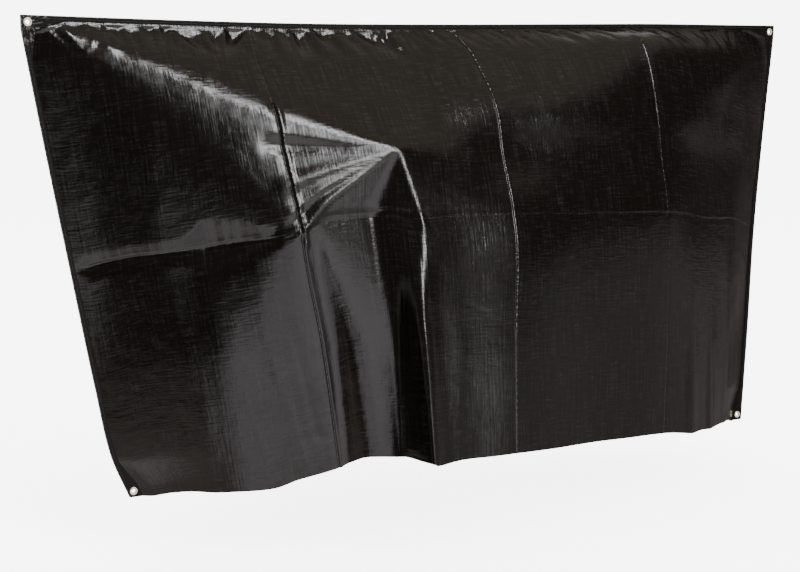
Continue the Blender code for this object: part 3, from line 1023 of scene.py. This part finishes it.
    @staticmethod
    def normals(points: Array) -> Array:
        """Unit normals of a grid that face out of the bag's front."""
        normal = np.cross(np.gradient(points, axis=1), np.gradient(points, axis=0))
        normal /= np.maximum(np.linalg.norm(normal, axis=2, keepdims=True), 1e-12)
        return normal * np.where(normal[..., 1:2] > 0, -1.0, 1.0)

    def build(self) -> bpy.types.Object:
        """The panel as a closed thin sheet."""
        points, flat = self.surface()
        points = points + self.normals(points) * self.relief(flat[..., 0], flat[..., 1])[..., None]
        normal = self.normals(points)
        facing = np.array([0.0, -1.0, 0.0])
        normal[0] = facing
        normal[:, 0] = facing
        normal[:, -1] = facing
        middle = points + facing * (self.cut.sheet + self.cut.gap) / 2
        outer = middle + normal * self.cut.sheet / 2
        inner = middle - normal * self.cut.sheet / 2
        rows, columns = points.shape[:2]
        count = rows * columns
        vertices = np.concatenate([outer.reshape(-1, 3), inner.reshape(-1, 3)])
        grid = np.arange(count).reshape(rows, columns)
        a, b = grid[:-1, :-1].ravel(), grid[:-1, 1:].ravel()
        c, d = grid[1:, 1:].ravel(), grid[1:, :-1].ravel()
        rim = np.concatenate([grid[0, :-1], grid[:-1, -1], grid[-1, :0:-1], grid[:0:-1, 0]])
        after = np.roll(rim, -1)
        faces = np.concatenate([
            np.stack([a, d, c, b], axis=1),
            np.stack([a, b, c, d], axis=1) + count,
            np.stack([rim, after, after + count, rim + count], axis=1),
        ])
        if self.side is Side.BACK:
            vertices = vertices * np.array([1.0, -1.0, 1.0])
            faces = faces[:, ::-1]
        piece = new_piece("cloth_" + self.side.value, vertices, faces, self.finish.material(),
                          np.tile(flat.reshape(-1, 2), (2, 1)))
        sharp = piece.data.attributes.new("sharp_edge", "BOOLEAN", "EDGE")
        ends = np.zeros(2 * len(piece.data.edges), dtype=np.int32)
        piece.data.edges.foreach_get("vertices", ends)
        on_rim = np.zeros(2 * count, bool)
        on_rim[np.concatenate([rim, rim + count])] = True
        ends = ends.reshape(-1, 2)
        sharp.data.foreach_set("value", on_rim[ends[:, 0]] & on_rim[ends[:, 1]])
        dress(piece, self.side.value)
        return piece


TOWARD_PANEL = {"ridge_strip": (0.0, -1.0), "left_strip": (1.0, 0.0), "right_strip": (-1.0, 0.0)}


@dataclass
class Bodies:
    """Closed bodies gathered for one mesh."""

    points: list[tuple[float, ...]] = field(default_factory=list)
    cloth: list[tuple[float, ...]] = field(default_factory=list)
    faces: list[tuple[int, ...]] = field(default_factory=list)

    def add(self, points: list, cloth: list, faces: list) -> None:
        """Adds a body, with the flat place of each of its points."""
        base = len(self.points)
        self.points += points
        self.cloth += cloth
        self.faces += [tuple(base + k for k in face) for face in faces]


@dataclass
class SeamStrip:
    """Both layers sewn flat together, with a round hole for each eyelet in it."""

    node: str
    cut: Cut
    finish: CoatedWeave
    cells: int = 8
    fine: float = 0.010
    coarse: float = 0.012
    hole: float = 0.0068
    lap: float = 0.0002
    lap_back: float = 0.0012
    lap_reach: float = 0.0045
    tab_inset: float = 0.0006
    tab_reach: float = 0.004
    tab_depth: Pair = (0.0001, 0.0004)

    def ridge_grid(self) -> tuple[Array, Array, list[Hole]]:
        """Points (x, z), flat places and hole blocks of the ridge strip."""
        cut, n = self.cut, self.cells
        corner = np.arange(n) * cut.corner / n
        far = cut.length - cut.corner
        middle = spaced([(cut.corner, self.coarse), (cut.corner + cut.flare, self.fine),
                         (far - cut.flare, self.coarse), (far, self.coarse)])
        along = np.concatenate([corner, middle, far + corner + cut.corner / n])
        share = np.arange(n + 1)[:, None] / n
        height = cut.ridge_height(along) - cut.gap
        x = np.broadcast_to(cut.ridge_x(along), (n + 1, len(along)))
        z = cut.ridge_top - cut.dip(along) - height * share
        flat = np.stack([np.broadcast_to(along, x.shape), height * share], axis=2)
        place = (cut.ridge_length / 2 - cut.eyelet_inset, cut.ridge_top - cut.eyelet_inset)
        holes = [(0, (-place[0], place[1])), (len(along) - n - 1, place)]
        return np.stack([x, z], axis=2), flat, holes

    def side_grid(self, right: bool) -> tuple[Array, Array, list[Hole]]:
        """Points (x, z), flat places and the hole block of a side strip."""
        cut, n = self.cut, self.cells
        shares = spaced([(share, self.fine) for share in (
            0.0, cut.flare / cut.side_length, 1 - (cut.corner + cut.flare) / cut.side_length,
            1 - cut.corner / cut.side_length)])
        depth = np.concatenate([cut.corner + shares * cut.side_length,
                                cut.height - cut.corner + cut.corner * np.arange(1, n + 1) / n])
        share = (depth - cut.corner) / cut.side_length
        leaned = cut.lean(right, share)
        last = 1 - cut.corner / cut.side_length
        ends = cut.lean(right, (last, 1.0))
        straight = ends[0] + (ends[1] - ends[0]) * (share - last) / (1 - last)
        leaned = np.where(share > last, straight, leaned)
        along = cut.length - cut.corner if right else cut.corner
        z = cut.ridge_top - cut.corner - cut.dip(along) - cut.fall(depth, leaned)
        z[0] -= cut.gap
        across = np.arange(n + 1)[:, None] / n
        width = cut.side_width(depth) - cut.gap
        toward = -1.0 if right else 1.0
        x = -toward * (cut.ridge_length / 2 - width * across) + leaned
        u = width * across if not right else cut.length - width * across
        grid = np.stack([x, np.broadcast_to(z, x.shape)], axis=2)
        flat = np.stack([u, np.broadcast_to(depth, x.shape)], axis=2)
        first = len(depth) - 1 - n
        centre = grid[n // 2, first + n // 2]
        return grid, flat, [(first, (float(centre[0]), float(centre[1])))]

    def layer(self, grid: Array, flat: Array, holes: list[Hole]) -> tuple[list, list, list]:
        """One layer of the strip, meshed round its holes.

        Args:
            grid: Points (x, z) of the strip.
            flat: Their places on the flat sheet.
            holes: First column and centre of each block of cells with a hole.

        Returns:
            The points that are used, their flat places, and the faces.
        """
        n, (rows, columns) = self.cells, grid.shape[:2]
        points = [tuple(p) for p in grid.reshape(-1, 2)]
        cloth = [tuple(p) for p in flat.reshape(-1, 2)]
        faces: list[tuple[int, ...]] = []
        blocked = set()
        for first, (x, z) in holes:
            blocked |= {(j, i) for j in range(n) for i in range(first, first + n)}
            edge = [(0, first + i) for i in range(n)] + [(j, first + n) for j in range(n)]
            edge += [(n, first + n - i) for i in range(n)] + [(n - j, first) for j in range(n)]
            base = len(points)
            for j, i in edge:
                angle = math.atan2(grid[j, i, 1] - z, grid[j, i, 0] - x)
                points.append((x + self.hole * math.cos(angle), z + self.hole * math.sin(angle)))
                cloth.append(tuple(0.4 * flat[j, i] + 0.6 * flat[n // 2, first + n // 2]))
            outer = [j * columns + i for j, i in edge]
            for k in range(4 * n):
                q = (k + 1) % (4 * n)
                faces.append((outer[k], outer[q], base + q, base + k))
        starts = [j * columns + i for j in range(rows - 1) for i in range(columns - 1)
                  if (j, i) not in blocked]
        faces += [(a, a + 1, a + columns + 1, a + columns) for a in starts]
        used = sorted({k for face in faces for k in face})
        index = {k: m for m, k in enumerate(used)}
        return ([points[k] for k in used], [cloth[k] for k in used],
                [[index[k] for k in face] for face in faces])

    def add_tongue(self, bodies: Bodies, grid: Array, flat: Array) -> None:
        """Adds the edge that is turned in between the panels."""
        n = self.cells
        keep = slice(n // 2, grid.shape[1] - n // 2) if self.node == "ridge_strip" else slice(None)
        dx, dz = TOWARD_PANEL[self.node]
        edge, count = grid[-1][keep], len(grid[-1][keep])
        half = self.lap / 2
        corners = [(-self.lap_back, -half), (self.lap_reach, -half),
                   (self.lap_reach, half), (-self.lap_back, half)]
        points = [(x + dx * s, y, z + dz * s) for s, y in corners for x, z in edge]
        faces = [(r * count + k, r * count + k + 1, q * count + k + 1, q * count + k)
                 for r, q in zip(range(4), (1, 2, 3, 0)) for k in range(count - 1)]
        faces += [tuple(r * count for r in (3, 2, 1, 0)),
                  tuple(r * count + count - 1 for r in range(4))]
        bodies.add(points, list(flat[-1][keep]) * 4, faces)

    def add_tabs(self, bodies: Bodies) -> None:
        """Adds the two tabs behind the ridge strip's ends that reach over the side strips."""
        cut, half = self.cut, self.cut.strip / 2
        for toward, along in ((-1.0, 0.0), (1.0, cut.length)):
            edge = toward * cut.ridge_length / 2
            low = cut.ridge_top - cut.corner - float(cut.dip(along))
            sides = sorted(edge - toward * x for x in (self.tab_inset, cut.corner - self.tab_inset))
            box = [(x, half + y, z) for y in self.tab_depth
                   for z in (low - self.tab_reach, low + self.tab_reach) for x in sides]
            bodies.add(box, [(0.0, 0.02)] * 8, [
                (0, 1, 3, 2), (4, 6, 7, 5), (0, 4, 5, 1), (2, 3, 7, 6), (0, 2, 6, 4), (1, 5, 7, 3)])

    def build(self) -> tuple[bpy.types.Object, list[Pair]]:
        """The strip as a closed mesh, and the centres of its holes."""
        ridge = self.node == "ridge_strip"
        right = self.node == "right_strip"
        grid, flat, holes = self.ridge_grid() if ridge else self.side_grid(right)
        points, cloth, faces = self.layer(grid, flat, holes)
        half, count = self.cut.strip / 2, len(points)
        edges = {edge for loop in faces for edge in zip(loop, loop[1:] + loop[:1])}
        solid = [side for loop in faces for side in (loop, [count + k for k in reversed(loop)])]
        solid += [(b, a, count + a, count + b) for a, b in sorted(edges) if (b, a) not in edges]
        bodies = Bodies()
        bodies.add([(x, y, z) for y in (-half, half) for x, z in points], cloth * 2, solid)
        self.add_tongue(bodies, grid, flat)
        if ridge:
            self.add_tabs(bodies)
        piece = new_piece("band_" + self.node, np.array(bodies.points), bodies.faces,
                          self.finish.material(), np.array(bodies.cloth), smooth=False)
        outward(piece)
        dress(piece, self.node)
        return piece, [centre for _, centre in holes]


@dataclass
class Eyelet:
    """A flanged eyelet through the cloth, rolled over the washer behind it."""

    place: str
    centre: Pair
    finish: PlatedBrass
    cut: Cut
    bore: float = 0.0056
    wall: float = 0.0007
    flange: float = 0.0106
    washer: float = 0.0006
    crown: float = 0.0010
    arc: float = 1.35
    seat: float = 0.0004
    bevel: float = 0.0003
    roll: tuple[Pair, ...] = (
        (0.0, 0.0), (0.0016, 0.0), (0.0018, 0.0004), (0.0010, 0.0010), (0.0, 0.0011))
    lip: float = 0.0005
    facets: int = 72

    def ring(self, name: str, profile: Sequence[Pair]) -> bpy.types.Object:
        """Turns a closed profile of (radius, y) about the hole's axis."""
        angle = np.arange(self.facets) * math.tau / self.facets
        points = np.concatenate([
            np.stack([self.centre[0] + r * np.cos(angle), np.full(self.facets, y),
                      self.centre[1] + r * np.sin(angle)], axis=1)
            for r, y in profile])
        n, rings = self.facets, len(profile)
        faces = [(p * n + k, p * n + m, q * n + m, q * n + k)
                 for p, q in zip(range(rings), [*range(1, rings), 0])
                 for k, m in zip(range(n), [*range(1, n), 0])]
        piece = new_piece(name, points, faces, self.finish.material())
        outward(piece)
        return piece

    def build(self) -> list[bpy.types.Object]:
        """The eyelet and its washer."""
        face = self.cut.strip / 2 + self.cut.gap
        back = face + self.washer + self.cut.gap
        barrel = self.bore + self.wall
        middle = 0.5 * (barrel + self.flange)
        half = self.flange - middle
        arc = [(middle + half * math.sin(a), -face - self.seat - self.crown * math.cos(a))
               for a in np.linspace(-self.arc, self.arc, 9)]
        foot = [(self.flange, -face - self.bevel + 0.0001), (self.flange - self.bevel, -face),
                (barrel, -face)]
        roll = [(barrel + out, back + rise) for out, rise in self.roll]
        eyelet = self.ring("eyelet_ring_" + self.place, [
            (self.bore, -face + self.bevel), *arc, *foot, *roll, (self.bore, back + self.lip)])
        inner, outer = barrel + self.bevel, self.flange - 0.0002
        washer = self.ring("eyelet_washer_" + self.place, [
            (inner, face), (outer - 0.0002, face), (outer, face + 0.0002),
            (outer - self.bevel, face + self.washer), (inner, face + self.washer)])
        for piece, node in ((eyelet, "eyelet_" + self.place), (washer, "washer_" + self.place)):
            dress(piece, node)
        return [eyelet, washer]


@dataclass
class Stitching:
    """Rows of lockstitches along the seams, made by Geometry Nodes."""

    cut: Cut
    finish: SewingThread
    pitch: float = 0.0052
    stitch: float = 0.0040
    thread: float = 0.00045
    inset: float = 0.0080
    start: float = 0.045
    top: float = 0.004
    foot: float = 0.050
    seed: int = 5

    def tree(self) -> bpy.types.NodeTree:
        """A tree that lays a stitch at every pitch of a curve."""
        tree = bpy.data.node_groups.new("stitch_row", "GeometryNodeTree")
        face = tree.interface
        for name, kind in (("Geometry", "Geometry"), ("Pitch", "Float"), ("Stitch Length", "Float"),
                           ("Thread Radius", "Float"), ("Seed", "Int"), ("Material", "Material")):
            face.new_socket(name, in_out="INPUT", socket_type="NodeSocket" + kind)
        face.new_socket("Geometry", in_out="OUTPUT", socket_type="NodeSocketGeometry")
        graph = Graph(tree)
        given = tree.nodes.new("NodeGroupInput")
        sizes = {s.name: Signal(graph, s) for s in given.outputs if s.name}
        rail = graph.node("GeometryNodeResampleCurve", {"mode": "LENGTH"},
                          {"Curve": sizes["Geometry"], "Length": sizes["Pitch"]})
        tangent = graph.node("GeometryNodeInputTangent")
        turn = graph.node("FunctionNodeAlignRotationToVector", {"axis": "Z"}, {"Vector": tangent})
        wobble = graph.node("FunctionNodeRandomValue", {"data_type": "FLOAT"},
                            {2: 0.88, 3: 1.08, "Seed": sizes["Seed"]}, 1)
        body = graph.node("GeometryNodeMeshCylinder", {"fill_type": "TRIANGLE_FAN"},
                          {"Vertices": 6, "Side Segments": 2, "Radius": sizes["Thread Radius"],
                           "Depth": sizes["Stitch Length"]})
        laid = graph.node("GeometryNodeInstanceOnPoints", None,
                          {"Points": rail, "Instance": body, "Rotation": turn, "Scale": wobble})
        real = graph.node("GeometryNodeRealizeInstances", None, {0: laid})
        dressed = graph.node("GeometryNodeSetMaterial", None,
                             {"Geometry": real, "Material": sizes["Material"]})
        graph.end("NodeGroupOutput", dressed)
        return tree

    def lines(self) -> list[Array]:
        """The stitch lines on both faces of the three strips."""
        cut = self.cut
        y = cut.strip / 2 + self.thread * 0.55
        along = np.linspace(self.start, cut.length - self.start, 120)
        x = cut.ridge_x(along)
        z = cut.ridge_top - cut.dip(along) - self.inset
        rows = [np.stack([x, np.full_like(x, -y), z], axis=1)]
        for right in (False, True):
            depth = np.linspace(cut.corner + self.top, cut.height - self.foot, 90)
            leaned = cut.lean(right, (depth - cut.corner) / cut.side_length)
            z = cut.ridge_top - depth[0] - cut.fall(depth, leaned)
            toward = -1.0 if right else 1.0
            x = -toward * (cut.ridge_length / 2 - self.inset) + leaned
            rows.append(np.stack([x, np.full_like(x, -y), z], axis=1))
        return rows + [r * np.array([1.0, -1.0, 1.0]) for r in rows]

    def build(self) -> bpy.types.Object:
        """All stitches as one mesh."""
        curve = bpy.data.curves.new("seam_lines", "CURVE")
        curve.dimensions = "3D"
        for row in self.lines():
            spline = curve.splines.new("POLY")
            spline.points.add(len(row) - 1)
            spline.points.foreach_set("co", np.hstack([row, np.ones((len(row), 1))]).ravel())
        rail = placed("seam_lines", curve)
        tree = self.tree()
        modifier = rail.modifiers.new("stitches", "NODES")
        modifier.node_group = tree
        values = {"Pitch": self.pitch, "Stitch Length": self.stitch, "Thread Radius": self.thread,
                  "Seed": self.seed, "Material": self.finish.material()}
        for item in tree.interface.items_tree:
            if item.in_out == "INPUT" and item.name in values:
                modifier[item.identifier] = values[item.name]
        graph = bpy.context.evaluated_depsgraph_get()
        mesh = bpy.data.meshes.new_from_object(rail.evaluated_get(graph), depsgraph=graph)
        rail.modifiers.remove(modifier)
        bpy.data.objects.remove(rail, do_unlink=True)
        piece = placed("seam_stitches", mesh)
        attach(piece, "root")
        return piece


class Flat(NamedTuple):
    """A light or dark part of the room, by direction in degrees from the cover."""

    name: str
    left: float
    right: float
    low: float
    high: float
    edge: float
    lean: float
    colour: tuple[float, float, float]
    strength: float


ROOM_FLATS = (
    Flat("walls", -400.0, 400.0, -90.0, 90.0, 1.0, 0.0, (1.00, 0.94, 0.90), 0.38),
    Flat("rear wall", 122.0, 400.0, -60.0, 60.0, 14.0, 0.0, (1.00, 0.98, 0.97), 0.70),
    Flat("rear window", 150.0, 178.0, 18.0, 44.0, 5.0, 0.0, (1.00, 0.99, 0.98), 4.00),
    Flat("right wall", 44.0, 122.0, -40.0, -1.0, 3.0, 0.0, (1.00, 0.93, 0.91), 0.46),
    Flat("far right wall", 92.0, 150.0, -10.0, 12.0, 4.0, 0.0, (1.00, 0.88, 0.80), 0.05),
    Flat("front floor", -400.0, 400.0, -90.0, -21.0, 3.0, 0.0, (1.00, 0.93, 0.88), 0.60),
    Flat("near floor", -66.0, 34.0, -70.0, -29.0, 3.0, 0.0, (1.00, 0.96, 0.97), 1.60),
    Flat("front screen", -34.0, 34.0, -40.0, 7.0, 2.5, 0.0, (1.00, 0.96, 0.98), 2.00),
    Flat("screen top", -12.0, 27.0, 2.0, 15.0, 3.0, 0.0, (1.00, 0.96, 0.98), 1.90),
    Flat("first screen bar", -22.0, -19.5, -40.0, 7.0, 1.2, 0.0, (1.00, 0.96, 0.97), 1.10),
    Flat("second screen bar", -15.0, -13.0, -40.0, 7.0, 1.0, 0.1, (1.00, 0.96, 0.97), 0.90),
    Flat("third screen bar", -4.0, -1.5, -40.0, 7.0, 1.0, -0.1, (1.00, 0.96, 0.97), 1.00),
    Flat("fourth screen bar", 15.0, 18.0, -40.0, 7.0, 1.2, 0.0, (1.00, 0.96, 0.97), 1.00),
    Flat("right foot", 26.0, 60.0, -45.0, -15.5, 2.5, 0.0, (1.00, 0.94, 0.93), 0.66),
    Flat("right middle", 32.8, 44.0, -5.0, 22.0, 1.6, 0.0, (1.00, 0.94, 0.93), 0.55),
    Flat("screen foot", -34.0, 26.0, -45.0, -20.5, 3.0, 0.0, (1.00, 0.94, 0.94), 1.20),
    Flat("left middle dark", -60.0, -14.0, -8.0, 12.0, 3.0, 0.0, (1.00, 0.88, 0.78), 0.10),
    Flat("left dark", -80.0, -34.0, -26.0, 46.0, 2.5, 0.0, (1.00, 0.88, 0.74), 0.07),
    Flat("screen wing", -46.5, -30.0, -27.0, -16.4, 1.2, 0.0, (1.00, 0.96, 0.98), 1.70),
    Flat("left high dark", -80.0, -7.0, 9.0, 46.0, 3.0, 0.0, (1.00, 0.90, 0.80), 0.08),
    Flat("left low", -140.0, -49.0, -60.0, -22.5, 1.2, 0.0, (1.00, 0.88, 0.82), 0.66),
    Flat("left near floor", -80.0, -38.0, -75.0, -42.0, 2.0, 0.0, (1.00, 0.95, 0.92), 1.50),
    Flat("far left low", -140.0, -74.0, -60.0, -17.0, 3.0, 0.0, (1.00, 0.90, 0.84), 0.60),
    Flat("far left dark", -160.0, -90.0, -15.0, 40.0, 5.0, 0.0, (1.00, 0.90, 0.80), 0.01),
    Flat("far right low", 104.0, 145.0, -40.0, 0.0, 3.0, 0.0, (1.00, 0.88, 0.82), 0.08),
    Flat("first right bar", 44.0, 122.0, -9.5, -8.0, 0.8, 0.0, (1.00, 0.93, 0.91), 0.22),
    Flat("second right bar", 44.0, 122.0, -15.5, -13.5, 0.8, 0.0, (1.00, 0.93, 0.91), 0.28),
    Flat("first right post", 58.0, 60.0, -40.0, -1.0, 1.0, 0.2, (1.00, 0.93, 0.91), 0.22),
    Flat("second right post", 74.0, 76.5, -40.0, -1.0, 1.0, 0.0, (1.00, 0.93, 0.91), 0.24),
    Flat("third right post", 90.0, 92.0, -40.0, -1.0, 1.0, -0.2, (1.00, 0.93, 0.91), 0.22),
    Flat("fourth right post", 104.0, 107.0, -40.0, -1.0, 1.0, 0.0, (1.00, 0.93, 0.91), 0.26),
    Flat("right dark", 40.0, 130.0, 7.0, 41.0, 3.0, 0.0, (1.00, 0.88, 0.76), 0.05),
    Flat("right low dark", 76.0, 130.0, -3.0, 8.0, 3.0, 0.0, (1.00, 0.90, 0.84), 0.07),
    Flat("ceiling", -400.0, 400.0, 44.0, 95.0, 2.5, 0.0, (1.00, 0.86, 0.72), 0.42),
    Flat("nose light", 4.0, 25.0, 24.0, 31.5, 1.2, 0.0, (1.00, 0.98, 0.97), 15.00),
    Flat("window", 2.0, 11.0, 34.0, 44.0, 1.5, 0.0, (0.97, 0.98, 1.00), 11.00),
    Flat("glint window", 14.0, 22.0, 30.0, 42.0, 1.0, 0.0, (0.97, 0.98, 1.00), 30.00),
    Flat("high window", 17.0, 26.0, 48.0, 60.0, 1.5, 0.0, (0.97, 0.98, 1.00), 46.00),
)


@dataclass
class Studio:
    """Pale floor, soft room light and the camera."""

    floor_height: float = -1.345
    floor_reach: float = 11.0
    floor_fade: Pair = (0.30, 0.98)
    floor_tint: Colour = (0.885, 0.885, 0.885, 1.0)
    floor_mottle: Colour = (0.905, 0.905, 0.905, 1.0)
    floor_shade: float = 1.5
    white: Colour = (1.0, 1.0, 1.0, 1.0)
    backdrop: float = 7.0
    eye: tuple[float, float, float] = (-1.948, -3.573, -0.073)
    turn: float = 26.76
    tilt: float = 8.82
    lens: float = 64.0
    key_irradiance: float = 4.0
    key_spread: float = 110.0

    def floor(self) -> None:
        """A wide pale floor that fades into the backdrop."""
        material, graph = new_material("pale_floor")
        place = graph.node("ShaderNodeTexCoord", None, None, "Object")
        x, y, _ = graph.parts(place)
        reach = (x * x + y * y).power(0.5)
        mottle = graph.noise(place, 1.2)
        finish_material(graph, {
            "Base Color": graph.blend(mottle, self.floor_tint, self.floor_mottle),
            "Roughness": 0.8,
            "Emission Color": self.white,
            "Emission Strength": self.backdrop - self.floor_shade,
            "Alpha": 1.0 - reach.clamp(*(share * self.floor_reach for share in self.floor_fade)),
        })
        work = bmesh.new()
        bmesh.ops.create_circle(work, cap_ends=True, segments=96, radius=self.floor_reach)
        bmesh.ops.translate(work, verts=work.verts, vec=(0.0, 0.0, self.floor_height))
        mesh = bpy.data.meshes.new("floor")
        work.to_mesh(mesh)
        work.free()
        mesh.materials.append(material)
        thing = placed("floor", mesh)
        thing.visible_glossy = False
        thing.visible_diffuse = False

    def room(self) -> None:
        """Room light: pale to the eye, with dark and light parts in the gloss."""
        world = bpy.data.worlds.new("room")
        world.use_nodes = True
        bpy.context.scene.world = world
        graph = Graph(world.node_tree)
        way = graph.node("ShaderNodeTexCoord", None, None, "Generated")
        x, y, z = graph.parts(way)
        azimuth = x.arctan2(0.0 - y) * (180 / math.pi)
        elevation = z.arcsine() * (180 / math.pi)
        light = (0.0, 0.0, 0.0, 1.0)
        for part in ROOM_FLATS:
            turned = azimuth - elevation * part.lean
            mask = (turned.window(part.left, part.right, part.edge)
                    * elevation.window(part.low, part.high, part.edge))
            shade = tuple(part.strength * c for c in part.colour) + (1.0,)
            light = graph.blend(mask, light, shade)
        seen = graph.node("ShaderNodeBackground", None, {"Color": light, "Strength": 1.0})
        plain = graph.node("ShaderNodeBackground", None,
                           {"Color": self.white, "Strength": self.backdrop})
        eye = graph.node("ShaderNodeLightPath", None, None, "Is Camera Ray")
        mixed = graph.node("ShaderNodeMixShader", None, {0: eye, 1: seen, 2: plain})
        graph.end("ShaderNodeOutputWorld", mixed)

    def key(self) -> None:
        """A broad soft light straight above."""
        lamp = bpy.data.lights.new("overhead", "SUN")
        lamp.energy = self.key_irradiance
        lamp.angle = math.radians(self.key_spread)
        thing = placed("overhead", lamp)
        thing.location = (0.0, 0.0, 4.0)
        thing.visible_glossy = False

    def camera(self) -> None:
        """The camera, at the height and angle of a standing viewer."""
        data = bpy.data.cameras.new("camera")
        data.sensor_width = 36.0
        data.lens = self.lens
        data.clip_end = 200.0
        thing = placed("camera", data)
        yaw, pitch = math.radians(self.turn), math.radians(self.tilt)
        look = Vector((math.sin(yaw) * math.cos(pitch), math.cos(yaw) * math.cos(pitch),
                       -math.sin(pitch)))
        thing.location = self.eye
        thing.rotation_mode = "QUATERNION"
        thing.rotation_quaternion = look.to_track_quat("-Z", "Y")
        bpy.context.scene.camera = thing

    def build(self) -> None:
        """Everything around the cover."""
        self.camera()
        self.floor()
        self.room()
        self.key()


def main() -> None:
    """Builds the cover and its studio in order."""
    cut = Cut()
    Studio().build()
    front = Panel(Side.FRONT, cut, CoatedWeave("front_weave"), Gathers(seed=7), FRONT_SECTIONS,
                  FRONT_FOLDS, FRONT_FANS, FRONT_KNOTS, FRONT_PLEATS, HEM_DROP).build()
    back = Panel(Side.BACK, cut, CoatedWeave("back_weave"), Gathers(seed=23), BACK_SECTIONS,
                 BACK_FOLDS, coarse=0.016).build()
    log.info("panels %s %s", front.name, back.name)
    centres: list[Pair] = []
    for node in ("ridge_strip", "left_strip", "right_strip"):
        # The strips get a paler colour along their edges, a painted highlight, and on the eyelet wrinkles,
        # partly stress whitening and partly painted glints.
        strip, holes = SeamStrip(node, cut, CoatedWeave(
            node + "_weave", stress_white_and_glint=(0.26, 0.255, 0.25, 1.0), gloss=0.24, crinkle=2.0, clear=1.22,
            dust=0.02, creased=False)).build()
        centres += holes
        log.info("strip %s", strip.name)
    eyelets = []
    for place, centre in zip(("top_left", "top_right", "foot_left", "foot_right"), centres):
        eyelets += Eyelet(place, centre, PlatedBrass(place + "_brass"), cut).build()
    log.info("eyelets %d", len(eyelets))
    stitches = Stitching(cut, SewingThread("seam_thread")).build()


if __name__ == "__main__":
    main()
